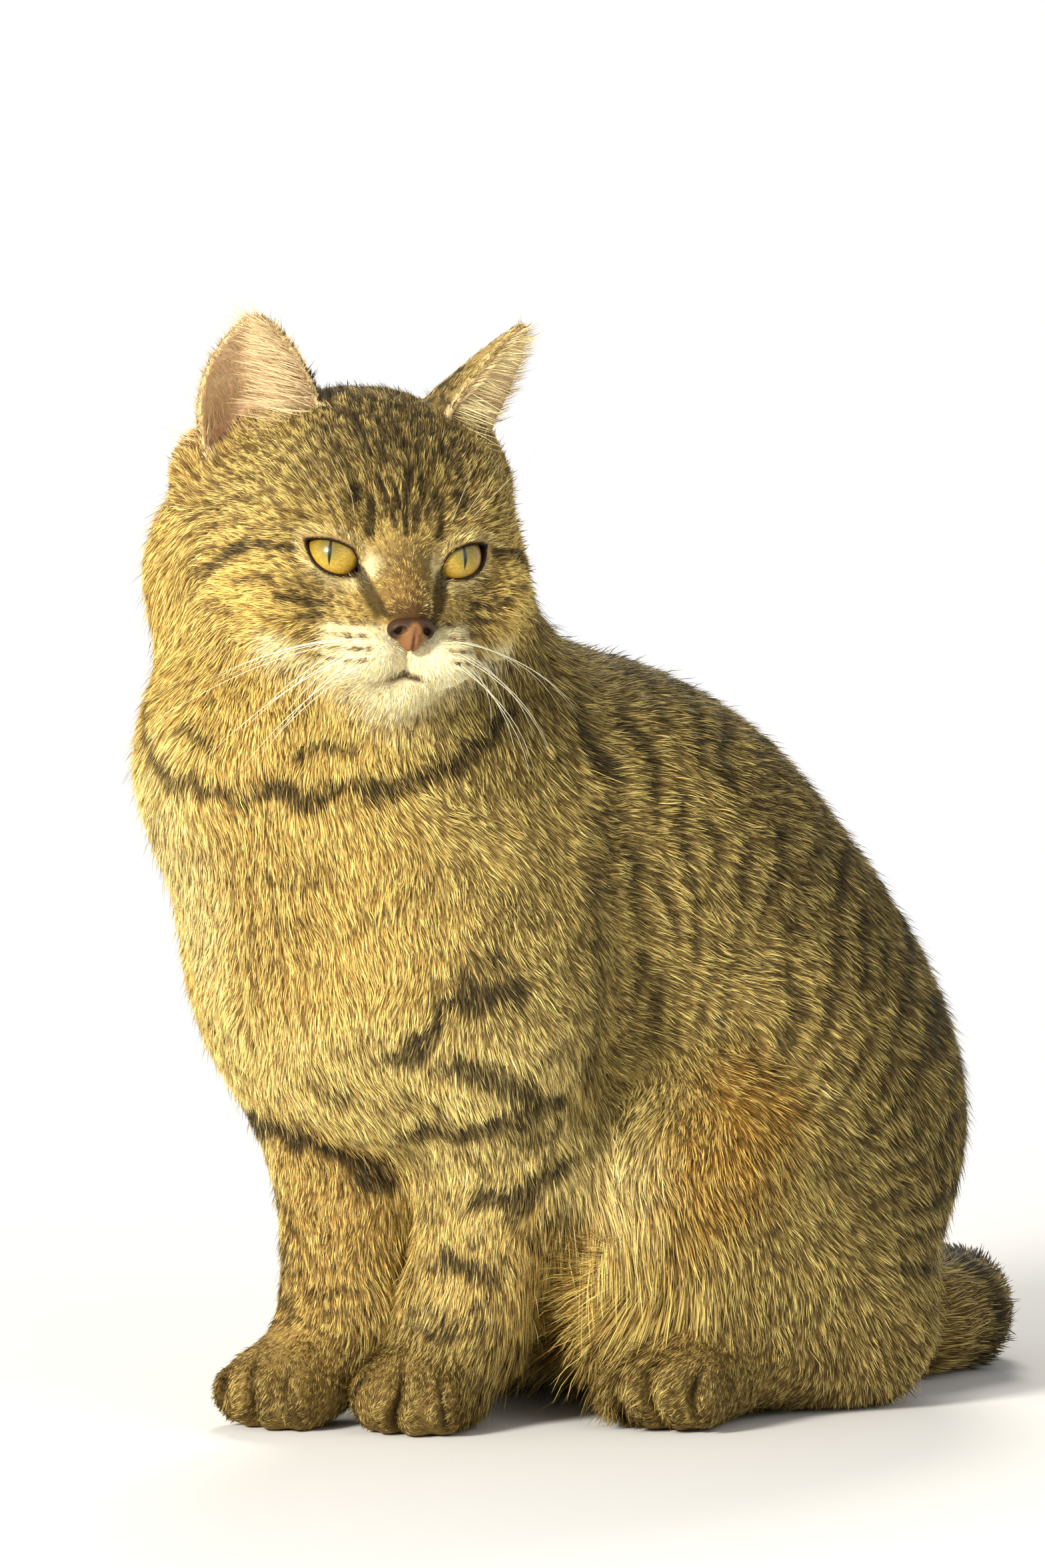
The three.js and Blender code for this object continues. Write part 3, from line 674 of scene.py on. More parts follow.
def whisker_rows(h):
    """Rows of small dark spots on the whisker pads, with a thin line through each."""
    x = np.abs(h[:, 0])
    rows = np.zeros(len(h), F4)
    for k, z in enumerate((-22.5, -26.2, -30, -33.8)):
        off = np.abs(h[:, 2] - z + 0.08 * (x - 16))
        spots = step(np.cos((x + 1.7 * k) * 2 * math.pi / 4.2), -0.3, 0.4)
        rows = np.maximum(rows, (1 - step(off, 0.45, 1.1)) * (0.4 + 0.6 * spots * (1 - step(x, 18, 22))))
    return rows * step(x, 11.5, 14.5) * (1 - step(x, 26, 35)) * step(-h[:, 1], 34, 40)


def under_lids(h, s, low, high):
    """How surely a place is in the band from low to high millimetres below an eye's opening."""
    out, up, ahead = eye_frame(h, s)
    rim = lid_opening(out, up)
    band = step(rim, low - 0.5, low + 0.5) * (1 - step(rim, high - 0.8, high + 0.8))
    return band * (ahead > 0) * (s * h[:, 0] > 0)


def on_tail(p):
    """How surely a place is on the part of the tail that lies clear of the rump."""
    clear = np.maximum(step(p[:, 1], 244, 256), step(-p[:, 0], 96, 104) * (p[:, 1] > 185))
    return clear * (1 - step(p[:, 2], 42, 52))


def tail_turn(p):
    """The angle of each place round the tail's curl, in degrees from its root."""
    turn = np.degrees(np.arctan2((p[:, 1] - TAIL_Y) / CURL_Y, (p[:, 0] - TAIL_X) / CURL_X))
    return np.where(turn < -60, turn + 360, turn)


def flank_bars(p):
    """Broken bars across the back and flanks, fanned out from the belly, and a line down the spine."""
    x, y, z = p.T
    angle = np.degrees(np.arctan2(z - 55, y - 78)) + 1.5 * waves(p, 60, 41) + 0.35 * waves(p, 16, 43)
    away = np.hypot(z - 55, y - 78)
    bars = step(np.cos(angle * 2 * math.pi / 5.8), -0.25, 0.75)
    along_bars = np.stack([1.7 * angle, 0.42 * away, 0.42 * x], 1).astype(F4)
    broken = step(waves(along_bars, 15, 42) + 0.4 * waves(p, 9, 46), -1.0, 0.3)
    behind = step(105 - angle, 0, 12) * step(z, 20, 46)
    behind = behind * step(away, 48, 84) * (1 - 0.8 * step(away, 172, 192))
    spine = (1 - step(np.abs(x), 5, 15)) * step(away, 100, 120) * step(120 - angle, 0, 12)
    return np.maximum((0.74 + 0.2 * step(away, 100, 150)) * bars * (0.3 + 0.7 * broken) * behind, 0.8 * spine)


def leg_bands(p):
    """Fainter broken bands down the outsides of the forelegs."""
    x, y, z = p.T
    leg = step(-y, -60, -44) * (1 - step(z, 118, 138)) * step(z, 26, 36)
    bands = step(np.cos((z + 0.35 * y + 3 * waves(p, 20, 44)) * 2 * math.pi / 13.5), 0.0, 0.8)
    return 0.62 * leg * bands * step(np.abs(x) - 0.35 * y, 15, 29) * step(waves(p, 13, 45), -0.7, 0.5)


def tail_rings(p):
    """Rings on the tail and its dark tip."""
    along = tail_turn(p)
    rings = step(np.cos(along * 2 * math.pi / 24), -0.3, 0.5)
    return on_tail(p) * np.maximum(0.9 * rings, step(along, 178, 188))


def dark_marks(p, h, normal, on_head):
    """How dark the markings are at places given in the row's axes and in the head's frame."""
    face_normal = normal @ HEAD_AXES.astype(F4)
    wobble = np.stack([waves(p, 15, 21 + k) for k in range(3)], 1)
    q = h + 0.5 * wobble
    brow = stroke(q, face_normal, [(-0.2, -47, 27), (0.5, -50, 14), (0.5, -52, 6)], 1.2)
    face = np.maximum(crown_lines(h), brow)
    for route, reach, strength in FACE_STROKES:
        for s in SIDES:
            face = np.maximum(face, strength * stroke(q, face_normal, mirrored(route, -s), reach))
    q = p + 1.5 * wobble
    body = np.maximum.reduce([flank_bars(p), leg_bands(p), tail_rings(p)])
    for route, reach, strength in BODY_STROKES:
        body = np.maximum(body, strength * stroke(q, normal, route, reach))
    return np.clip(face * on_head + body * (1 - on_head), 0, 1)


TAN, GOLD, CREAM = (0.74, 0.515, 0.155), (0.97, 0.62, 0.165), (0.98, 0.79, 0.35)
RUST, GREY, NEAR_BLACK = (0.60, 0.29, 0.05), (0.27, 0.205, 0.07), (0.026, 0.018, 0.008)
ORANGE, WHITE, SPOTS = (0.68, 0.31, 0.035), (0.97, 0.88, 0.56), (0.20, 0.075, 0.03)
# The rump, neck patch and tail colours are darker, partly as painted shade.
DARK_RUMP_AND_SHADE, NAPE_DARK_AND_SHADOW, TAIL_DARK_AND_SHADE = (0.175, 0.130, 0.042), (0.20, 0.145, 0.045), (0.09, 0.075, 0.055)
FORELEG, BELLY = (0.92, 0.68, 0.24), (0.93, 0.55, 0.14)
INNER_LEG, FEET = (0.82, 0.47, 0.115), (0.31, 0.20, 0.062)
FACE, FOREHEAD, EAR, CHIN = (0.64, 0.42, 0.125), (0.25, 0.17, 0.05), (0.80, 0.57, 0.21), (0.88, 0.78, 0.48)
BRIDGE, NOSE_FUR, NOSE_TOP = (0.31, 0.195, 0.065), (0.38, 0.205, 0.06), (0.16, 0.085, 0.03)
LOWER_LID, EAR_FOOT, LIPS = (0.93, 0.72, 0.33), (0.66, 0.36, 0.10), (0.26, 0.14, 0.07)
# The deep ear colour is painted shade at the foot of each ear's hollow.
EAR_PINK, EAR_PALE_AND_LIT, EAR_DEEP_SHADE = (0.60, 0.34, 0.20), (0.84, 0.60, 0.38), (0.16, 0.06, 0.035)
EAR_RIM, EAR_TUFT = (0.80, 0.60, 0.30), (0.87, 0.66, 0.40)
LID_RIM, MOUTH_LINE = (0.022, 0.012, 0.010), (0.14, 0.07, 0.04)
# The light tip is a pale tip, partly painted brighter as a highlight.
DARK_TIP, PALE_AND_LIT_TIP = (0.095, 0.052, 0.016), (1.0, 0.80, 0.25)


def mix(colour, other, amount):
    amount = np.broadcast_to(np.clip(amount, 0, 1), len(colour))
    return colour + (np.array(other, F4) - colour) * amount[:, None]


def layered(colour, *layers):
    """A colour with others mixed over it in turn, each by its amount."""
    for other, amount in layers:
        colour = mix(colour, other, amount)
    return colour


def near(p, place, reach, soft=0.5):
    return 1 - step(size_of(p - np.array(place, F4)), reach * (1 - soft), reach * (1 + soft))


# The orange fur down the front of the left thigh: places and reaches.
ORANGE_PATCHES = (((94, 104, 106), 19), ((92, 88, 80), 20), ((84, 74, 58), 17), ((76, 66, 38), 15))
JAW = [(37, -33, -36), (31, -36, -43), (22, -42, -48), (8, -50, -50)]


def body_ground(p, on_head):
    """The colour between the markings of the body: the front is warmer and paler, the haunches greyer and
    darker, partly as painted shade.
    """
    x, y, z = p.T
    tall = p * np.array((1, 1, 0.5), F4)
    front = step(-y - 0.35 * x, -46, 10) * (1 - on_head)
    belly = near(p * np.array((0.8, 1, 1), F4), (0, 80, 45), 60, 0.35) * (1 - step(z, 85, 115))
    inner = near(p * np.array((1, 1, 0.4), F4), (-12, 4, 28), 22, 0.5) * (x > -30)
    return layered(
        np.tile(np.array(TAN, F4), (len(p), 1)),
        (GREY, 0.22 + 0.10 * waves(p, 60, 51) + 0.12 * waves(p, 16, 52)),
        (GOLD, 0.9 * front),
        (CREAM, 0.7 * front * near(tall, (-24, -52, 84), 26)),
        (RUST, 0.22 * front * near(tall, (8, -42, 76), 24)),
        # The rump is darker: partly its own colour, partly painted shade.
        (DARK_RUMP_AND_SHADE, 0.85 * step(y + 0.4 * z, 172, 226) * step(z, 20, 60)),
        # A dark patch on the side of the neck behind the cheek: dark fur and painted shadow of the head.
        (NAPE_DARK_AND_SHADOW, 0.55 * near(p, (48, 50, 236), 27, 0.7)),
        *[(ORANGE, 0.8 * near(p, place, reach, 0.8)) for place, reach in ORANGE_PATCHES],
        (FORELEG, 0.75 * step(-y, -62, -46) * (1 - step(z, 120, 150)) * step(z, 22, 40)),
        (BELLY, 0.85 * belly),
        (CREAM, 0.45 * near(p, (66, 62, 74), 20, 0.6)),
        (INNER_LEG, 0.8 * inner),
        (FEET, 0.8 * (1 - step(z, 20, 38))),
        # The tail is darker: partly its own colour, partly painted shade.
        (TAIL_DARK_AND_SHADE, 0.6 * on_tail(p)))


def face_ground(colour, h, normal, on_ear):
    """The same for the face, over the body's colour: pale muzzle, chin and lids, warm bridge of the nose."""
    x, y, z = h.T
    golden = np.maximum(*both(lambda s: near(h, (s * 45, -20, -23), 25, 0.5)))
    cheek = np.maximum(*both(lambda s: stroke(h, normal, mirrored(JAW, s), 7.8, 0.6)))
    pads = step(-y, 40, 48) * (1 - step(z, -26, -20.5)) * (1 - step(np.abs(x), 20, 31))
    face = layered(
        colour,
        (FACE, 0.7),
        (GOLD, 0.95 * golden),
        (FOREHEAD, 0.68 * step(z, 6, 28) * (1 - on_ear)),
        (EAR, 0.65 * on_ear),
        (WHITE, 0.95 * cheek),
        (WHITE, 0.97 * pads),
        # The chin's white stands to the right of the middle, leaving the left of the chin darker as painted
        # shade.
        (CHIN, near(h, (-5, -52, -44), 16, 0.4)),
        (BRIDGE, 0.8 * stroke(h, normal, [(0, -52, -3), (0, -58, -10)], 6.5, 0.7)),
        (NOSE_FUR, 0.8 * stroke(h, normal, [(0, -58, -10), (0, -62, -15)], 4.5, 0.7)),
        (NOSE_TOP, 0.9 * stroke(h, normal, [(-4, -64, -17.5), (4, -64, -17.5)], 3.2, 0.6)))
    for s in SIDES:
        face = layered(
            face,
            (LOWER_LID, 0.45 * under_lids(h, s, 1.5, 5.5)),
            (CREAM, 0.8 * under_lids(h, s, 1.3, 3.6) * (eye_frame(h, s)[1] < -1)),
            (WHITE, 0.85 * near(h, (s * 9.8, -50, -4.5), 3.9, 0.7) * (0.35 if s > 0 else 0.6)),
            (EAR_FOOT, 0.9 * near(h, (s * 53, 22, 23), 17, 0.5)))
    return layered(face, (SPOTS, 0.85 * whisker_rows(h)), (LIPS, 0.65 * lips(h, 10)))


# ---- Where each part of the coat lies ----

def nearest(*fields):
    return lambda p: np.minimum.reduce([field(p) for field in fields])


# Each region: its mass, and its tufts' length, width, lift in degrees, number for each square millimetre
# and the size of the locks that they gather into.
REGIONS = {
    "head": (in_head(blend(10, skull, ear_bases)), 4.5, 0.26, 24, 5.4, 2.4),
    "muzzle": (in_head(muzzle), 3.4, 0.23, 17, 8.0, 1.4),
    "ear": (in_head(nearest(ear_shell(1), ear_shell(-1))), 3.2, 0.24, 12, 4.8, 1.6),
    "neck": (neck_mass, 6.6, 0.30, 24, 2.7, 3.4),
    "trunk": (trunk_mass, 6.4, 0.31, 23, 2.45, 3.2),
    "arm": (nearest(*both(upper_arm)), 6.2, 0.30, 22, 2.6, 3.2),
    "thigh": (nearest(*both(thigh)), 7.0, 0.32, 23, 2.4, 3.4),
    "fore": (nearest(*both(fore_arm)), 4.8, 0.27, 21, 3.8, 2.6),
    "paw": (nearest(*both(fore_paw), *both(hind_paw)), 3.0, 0.25, 17, 5.4, 1.8),
    "tail": (tail_mass, 8.8, 0.38, 19, 2.1, 5.0),
}
NAMES = list(REGIONS)


def shares(p):
    """How much each region owns each place."""
    depth = np.stack([REGIONS[name][0](p) for name in NAMES], 1)
    depth[:, NAMES.index("ear")] -= 5
    depth[:, NAMES.index("muzzle")] -= 2
    share = np.exp(-(depth - depth.min(1, keepdims=True)) / 3.5)
    return share / share.sum(1, keepdims=True)


def owned(share, *names):
    """The part of each place that the named regions own."""
    return share[:, [NAMES.index(name) for name in names]].sum(1)


def flow(p, h, share):
    """The lie of the coat: back from the nose, down the neck and chest, along the back, down the legs."""
    count = len(p)
    none, outward = np.zeros(count), np.sign(p[:, 0])
    off_nose = unit(h - np.array((0, -74, -20), F4)) + np.array((0, 0.15, -0.1), F4)
    along_ear = np.zeros((count, 3))
    for s in SIDES:
        axes = ear_frame(s)[2]
        across, _, out, _ = ear_sheet(h, s)
        lean = np.clip(across / 14, -1, 1) * np.where(out < 0, 0.9, 0.35)
        way = (axes[:, 2] + lean[:, None] * axes[:, 0]) @ HEAD_AXES.T
        along_ear = np.where((s * h[:, 0] > 0)[:, None], way, along_ear)
    angle = np.degrees(np.arctan2(p[:, 2] - 60, p[:, 1] - 75))
    fan = np.radians(angle)
    back = np.stack([none, np.sin(fan), -np.cos(fan) - 0.35], 1)
    down = np.stack([0.15 * outward, none + 0.12, none - 1], 1)
    behind = (1 - step(angle, 98, 132))[:, None]
    along_paw, nearest_paw = np.zeros((count, 3)), np.full(count, 1e9)
    for leg in PAWS:
        away = size_of(p - np.array(leg["paw"], F4))
        turn = math.radians(leg["turn"])
        way = np.array((math.sin(turn), -math.cos(turn), -0.55))
        along_paw = np.where((away < nearest_paw)[:, None], way, along_paw)
        nearest_paw = np.minimum(nearest_paw, away)
    curl = np.radians(tail_turn(p))
    ways = {
        "head": off_nose @ HEAD_AXES.T,
        "muzzle": off_nose @ HEAD_AXES.T,
        "ear": along_ear,
        "neck": np.stack([0.1 * outward, 0.12 + 0.5 * step(p[:, 1], 20, 80), none - 1], 1),
        "trunk": back * behind + down * (1 - behind),
        "arm": np.tile((0, 0.35, -1), (count, 1)),
        "thigh": np.stack([none, 0.15 + 0.5 * step(p[:, 1], 90, 150), none - 1], 1),
        "fore": np.tile((0, 0.12, -1), (count, 1)),
        "paw": along_paw,
        "tail": np.stack([-CURL_X * np.sin(curl), CURL_Y * np.cos(curl), none], 1),
    }
    return sum(unit(ways[name]) * share[:, k:k + 1] for k, name in enumerate(NAMES))


def bare(h):
    """Where no fur grows: inside the lids, on the nose leather and along the mouth."""
    skin = nose_field(h) < 0.9
    for s in SIDES:
        out, up, ahead = eye_frame(h, s)
        skin |= (lid_opening(out, up) < 0.9) & (ahead > 0) & (ahead < 18)
    return skin | ((np.abs(h[:, 2] - mouth_height(h[:, 0])) < 0.5) & (np.abs(h[:, 0]) < 7) & (h[:, 1] < -48))


def inside_ear(h):
    """How surely a place is on the hollow side of an ear."""
    hollow = np.zeros(len(h), F4)
    for s in SIDES:
        _, up, out, rim = ear_sheet(h, s)
        hollow = np.maximum(hollow, (s * h[:, 0] > 0) * (out < -0.2) * (out > -4) * (rim < -1.2) * (up > -3))
    return hollow


def skin_paint(p, normal, share):
    """The ground colour and the marks' darkness at places with their normals and shares."""
    h = into_head(p)
    on_head = owned(share, "head", "muzzle", "ear")
    body = body_ground(p, on_head)
    face = face_ground(body, h, normal @ HEAD_AXES.astype(F4), owned(share, "ear"))
    return mix(body, face, on_head), dark_marks(p, h, normal, on_head)


# ---- Skin piece ----

heads = into_head(points)
skin_share = shares(points)
colour, marks = skin_paint(points, normals, skin_share)
# The skin between the tufts is painted darker, as the shade deep in the coat; less so under pale fur.
painted_shade_under_fur = 0.5 + 0.35 * step(colour[:, 2], 0.2, 0.5)
# The skin is darkened under the markings, and as painted shade in the furrows between the toes.
skin_colour = layered(colour * painted_shade_under_fur[:, None], (NEAR_BLACK, 0.85 * marks),
                      (NEAR_BLACK, 0.85 * toes(points)[0]))
hollow = inside_ear(heads)
for s in SIDES:
    own = s * heads[:, 0] > 0
    _, up, out, rim = ear_sheet(heads, s)
    edge = (np.abs(rim + 1) < 1.6) * (np.abs(out) < 3) * own * (up > 0)
    outward, upward, ahead = eye_frame(heads, s)
    lid_rim = (1 - step(lid_opening(outward, upward), 0.8, 1.4)) * (ahead > 0) * (ahead < 18)
    skin_colour = layered(
        skin_colour,
        (EAR_PINK, hollow * own),
        # Paler up the hollow: the ear's own pale skin, and painted light shining through the thin ear.
        (EAR_PALE_AND_LIT, 0.9 * hollow * own * step(up, 2, 22)),
        # Painted shade deep in the foot of the ear's hollow.
        (EAR_DEEP_SHADE, 0.8 * hollow * own * (1 - step(up, -4, 7))),
        (EAR_RIM, 0.8 * edge),
        (LID_RIM, lid_rim))
skin_colour = mix(skin_colour, MOUTH_LINE, 0.75 * lips(heads, 11))

skin = new_mesh("skin", points, quads.ravel(), np.full(len(quads), 4))
paint(skin, skin_colour)
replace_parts(skin, "head", "muzzle", "ear_left", "ear_right", "neck", "trunk", "foreleg_left",
            "forepaw_left", "hindleg_left", "hindpaw_left", "foreleg_right", "forepaw_right",
            "hindleg_right", "hindpaw_right", "tail")
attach(skin, "root")

# ---- Tufts ----


def rooted(count):
    """Roots spread evenly over the skin by each region's density: places, normals and shares."""
    corner = points[quads]
    area = 0.5 * np.linalg.norm(np.cross(corner[:, 2] - corner[:, 0], corner[:, 3] - corner[:, 1]), axis=1)
    density = np.array([REGIONS[name][4] for name in NAMES])
    weight = area * (skin_share @ density)[quads].mean(1)
    weight[bare(heads)[quads].mean(1) > 0.4] = 0
    weight *= 1 - 0.5 * hollow[quads].mean(1)
    weight *= step(corner[:, :, 2].mean(1), 1.0, 3.5)
    total = np.cumsum(weight)
    ticks = (np.arange(count) + rng.random(count)) * total[-1] / count
    face = np.minimum(np.searchsorted(total, ticks), len(quads) - 1)
    u, v = rng.random(count), rng.random(count)
    part = np.stack([(1 - u) * (1 - v), u * (1 - v), u * v, (1 - u) * v], 1)[:, :, None]
    ring = quads[face]
    return ((points[ring] * part).sum(1).astype(F4), unit((normals[ring] * part).sum(1)),
            (skin_share[ring] * part).sum(1))


def noisy(count, spread):
    return rng.normal(size=count) * spread


LOCKS_ALONG = 4001      # more locks than lie along any axis


def lock_of(p, size):
    """The number of the lock that each root belongs to, from a jittered grid of the locks' size."""
    q = p + np.stack([waves(p, 3.2 * size, 61 + k) for k in range(3)], 1) * (0.35 * size)
    cell = np.floor(q / size).astype(np.int64)
    key = (cell[:, 0] * LOCKS_ALONG + cell[:, 1]) * LOCKS_ALONG + cell[:, 2]
    return np.unique(key, return_inverse=True)[1].ravel()


def gathered(values, lock):
    """The mean of the values in each lock, given back for each member."""
    size = np.bincount(lock)[:, None]
    return (np.stack([np.bincount(lock, values[:, a]) for a in range(3)], 1) / size)[lock]


def turned_about(v, axis, angle):
    """Vectors turned about unit axes square to them, by angles in radians."""
    return v * np.cos(angle)[:, None] + np.cross(axis, v) * np.sin(angle)[:, None]


# For the root, middle and tip of a tuft: how light it is in hard and in soft fur, which paints shade deep in
# the coat at the root and light on the tip, and how much it shows of a dark tip, of the markings and of a
# light tip.
TUFT_ROWS = ((0.16, 0.6, 0, 0.85, 0), (0.55, 0.93, 0.7, 0.97, 0.15), (1.38, 1.06, 0.95, 0.97, 0.8))
WILD_TUFTS = 0.06           # the part of them that stands up
SMALL_LOCK, LARGE_LOCK = 2.0, 4.2


class Tufts:
    """Curved tufts, each known by its root, way, lift and length, with its colours from root to tip."""

    def __init__(self, count):
        root, normal, share = rooted(count)
        h = into_head(root)
        length, width, lift, _, lock_size = (share @ np.array([REGIONS[name][1:] for name in NAMES])).T
        on_ear = owned(share, "ear")
        self.hollow = inside_ear(h)
        # Long fur hangs from the belly and the front of the thighs; it is short down the nose and in furrows.
        belly = near(root * np.array((0.8, 1, 1), F4), (0, 74, 45), 62, 0.3) * (1 - step(root[:, 2], 70, 110))
        belly = belly * (1 - 0.85 * owned(share, "fore"))
        length = length * (1 + 1.9 * belly)
        length = length * (0.62 + 0.38 * step(size_of(h - np.array((0, -60, -8), F4)), 8, 44))
        length = length * (1 - 0.4 * toes(root)[0]) * (1 + 0.9 * self.hollow)
        wild = rng.random(count) < WILD_TUFTS
        length = length * rng.uniform(0.7, 1.2, count) * np.where(wild, 1.5, 1)
        calm = np.maximum(on_ear, owned(share, "tail"))
        lift = lift * (1 + 0.2 * waves(root, 14, 71)) + noisy(count, 4) + np.where(wild, 13, 0) * (1 - calm)
        lift = np.radians(np.clip(lift, 4, 46))
        way = flow(root, h, share)
        way = unit(way - normal * dot(way, normal)[:, None])
        swirl = 10 * waves(root, 46, 72) + 7 * waves(root, 15, 73) + noisy(count, 7)
        way = turned_about(way, normal, np.radians(swirl * (1 - 0.5 * on_ear)))
        self.root, self.normal, self.way, self.share, self.h = root, normal, way, share, h
        self.length, self.lift, self.width = length, lift, width * rng.uniform(0.75, 1.25, count)
        self.sag = 0.42 * belly * np.clip(0.75 - normal[:, 2], 0, 1)
        self.lean = np.zeros((count, 3))
        tips = self.at(1.0)
        for size, chosen in ((SMALL_LOCK, lock_size < 2.2), (LARGE_LOCK, lock_size >= 2.2)):
            middle = gathered(tips[chosen], lock_of(root[chosen], size))
            self.lean[chosen] = (middle - tips[chosen]) * rng.uniform(0.05, 0.42, chosen.sum())[:, None]
        twist = noisy(count, 0.45)
        side = np.cross(way, normal)
        self.side = unit(side * np.cos(twist)[:, None] + normal * np.sin(twist)[:, None])
        self.colours()

    def at(self, s):
        """Where each tuft is at a part s of its length."""
        rise = self.length * np.sin(self.lift) * s * (1.35 - 0.45 * s)
        run = self.length * np.cos(self.lift) * s
        place = self.root + self.normal * (rise - 0.4)[:, None]
        place = place + self.way * run[:, None] + self.lean * s ** 1.6
        place[:, 2] = np.maximum(place[:, 2] - self.sag * self.length * s * s, 0.3)
        return place

    def colours(self):
        """Dusky at the root, then a light band, and a dark or light tip; the dusk is painted shade and the
        lighter tip partly painted light.
        """
        count = len(self.root)
        seen = (self.root + self.way * (0.7 * self.length)[:, None]).astype(F4)
        colour, marks = skin_paint(seen, self.normal.astype(F4), self.share)
        pale, gold = step(colour[:, 2], 0.2, 0.5), step(colour[:, 1], 0.46, 0.64)
        on_body = 1 - owned(self.share, "head", "muzzle", "ear")
        marks = np.clip(marks + noisy(count, 0.12) * (1 + 1.3 * on_body) * (marks > 0.1), 0, 1)
        warm = noisy(count, 0.04)
        uneven = noisy(count, 0.44) * (1 - 0.35 * gold - 0.3 * pale)
        uneven = uneven + 0.2 * waves(self.root, 2.7, 75) * (1 - 0.6 * pale)
        base = colour * np.exp(uneven)[:, None]
        base = base * np.stack([1 + warm, np.ones(count), 1 - 2 * warm], 1)
        base = mix(base, EAR_TUFT, 0.9 * self.hollow)
        dark = mix(np.tile(np.array(DARK_TIP, F4), (count, 1)), NEAR_BLACK, marks)
        # Dark and light tips come in small patches, which ticks the coat; the dark patches are also painted
        # shade between the locks.
        patch = waves(self.root, 3.8, 74)
        chance = rng.random(count)
        ticked_and_shaded = (chance < (0.39 + 0.46 * patch) * (1 - 0.7 * gold) * (1 - pale)) * (1 - self.hollow)
        # Light tips: pale tips of the hairs, partly painted highlights.
        lit = (chance > 0.61 + 0.42 * patch + 0.12 * pale) * (1 - 0.88 * marks)
        # Painted shade in the furrows between the toes.
        furrow = 0.85 * toes(self.root)[0]
        soft = np.maximum(np.maximum(pale, 0.4 * gold), self.hollow)
        rows = [layered(base * (hard + (smooth - hard) * soft)[:, None],
                        (dark, ticked_and_shaded * tipped),
                        (dark, marks ** 0.8 * marked),
                        (PALE_AND_LIT_TIP, lit * shining),
                        (NEAR_BLACK, furrow))
                for hard, smooth, tipped, marked, shining in TUFT_ROWS]
        self.tint = np.clip(np.stack(rows, 1), 0.004, 0.97)


BAKE_PATCH = 0.0015     # half the side of a tuft's patch of OFBake


def ribbons(name, rows, half, side, tint, roots, ways, material):
    """A piece of pointed ribbons: each has its rows of places, ending in its tip, the half widths of all rows
    but the tip, and a colour for each row. Its patch of OFBake lies at its root's place on the skin."""
    count, length = rows.shape[:2]
    edge = side[:, None] * half[:, :, None]
    places = np.stack([rows[:, :-1] - edge, rows[:, :-1] + edge], 2).reshape(count, -1, 3)
    places = np.concatenate([places, rows[:, -1:]], 1)
    pattern = []
    for k in range(length - 2):
        pattern += [2 * k, 2 * k + 1, 2 * k + 3, 2 * k + 2]
    pattern += [2 * length - 4, 2 * length - 3, 2 * length - 2]
    corners = (np.arange(count)[:, None] * (2 * length - 1) + np.array(pattern)).ravel()
    piece = new_mesh(name, places.reshape(-1, 3), corners, np.tile([4] * (length - 2) + [3], count))
    twice = np.append(np.repeat(np.arange(length - 1), 2), length - 1)
    paint(piece, tint[:, twice].reshape(-1, 3))
    spot = [(x, 2 * k / (length - 1) - 1) for k in range(length - 1) for x in (-1, 1)] + [(0, 1)]
    uv = patches(roots, ways)[:, None] + np.array(spot) * BAKE_PATCH
    piece.data.uv_layers.new(name="OFBake").data.foreach_set("uv", uv[:, pattern].astype(F4).ravel())
    piece.data.materials.append(material)
    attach(piece, "root")
    return piece


def patches(root, normal):
    """Each root's place on an unwrap of its piece's skin, laid out by the six ways that the skin can face."""
    low, span = root.min(0), np.maximum(np.ptp(root, axis=0), 1e-3)
    q = (root - low) / span
    axis = np.abs(normal).argmax(1)
    ahead = np.take_along_axis(normal, axis[:, None], 1)[:, 0] > 0
    u = np.where(axis == 0, q[:, 1], q[:, 0])
    v = np.where(axis == 2, q[:, 1], q[:, 2])
    return np.stack([(axis + 0.03 + 0.94 * u) / 3, (ahead + 0.03 + 0.94 * v) / 2], 1)


def split(chosen, root, most):
    """Groups of at most so many roots, halved across their longest side."""
    if len(chosen) <= most:
        return [chosen]
    axis = np.ptp(root[chosen], axis=0).argmax()
    order = chosen[np.argsort(root[chosen, axis], kind="stable")]
    return split(order[:len(order) // 2], root, most) + split(order[len(order) // 2:], root, most)


# ---- Materials ----

def link(material, output, socket):
    material.node_tree.links.new(output, socket)


def feed(material, node, values):
    """The node's inputs set to values, or linked from other nodes' outputs."""
    for key, value in values.items():
        if isinstance(value, bpy.types.NodeSocket):
            link(material, value, node.inputs[key])
        else:
            node.inputs[key].default_value = value


def material_of(name, roughness, **constants):
    material = bpy.data.materials.new(name)
    material.use_nodes = True
    shader = material.node_tree.nodes["Principled BSDF"]
    feed(material, shader, {"Roughness": roughness})
    feed(material, shader, {key.replace("_", " "): value for key, value in constants.items()})
    return material, shader


def add(material, kind, *inputs, **named):
    """A node with its settings by their names, and its inputs in turn or by capitalised names."""
    node = material.node_tree.nodes.new(kind)
    for key, value in named.items():
        if key.islower():
            setattr(node, key, value)
    feed(material, node, dict(enumerate(inputs)))
    feed(material, node, {key: value for key, value in named.items() if not key.islower()})
    return node


def reckon(material, operation, *inputs):
    return add(material, "ShaderNodeMath", *inputs, operation=operation).outputs[0]


def ranged(material, value, low, high, bottom=0.0, top=1.0):
    return add(material, "ShaderNodeMapRange", value, low, high, bottom, top).outputs[0]


def tint_of(material):
    return add(material, "ShaderNodeVertexColor", layer_name="tint").outputs["Color"]


def scaled(material, colour, factor):
    return add(material, "ShaderNodeVectorMath", colour, operation="SCALE", Scale=factor).outputs[0]


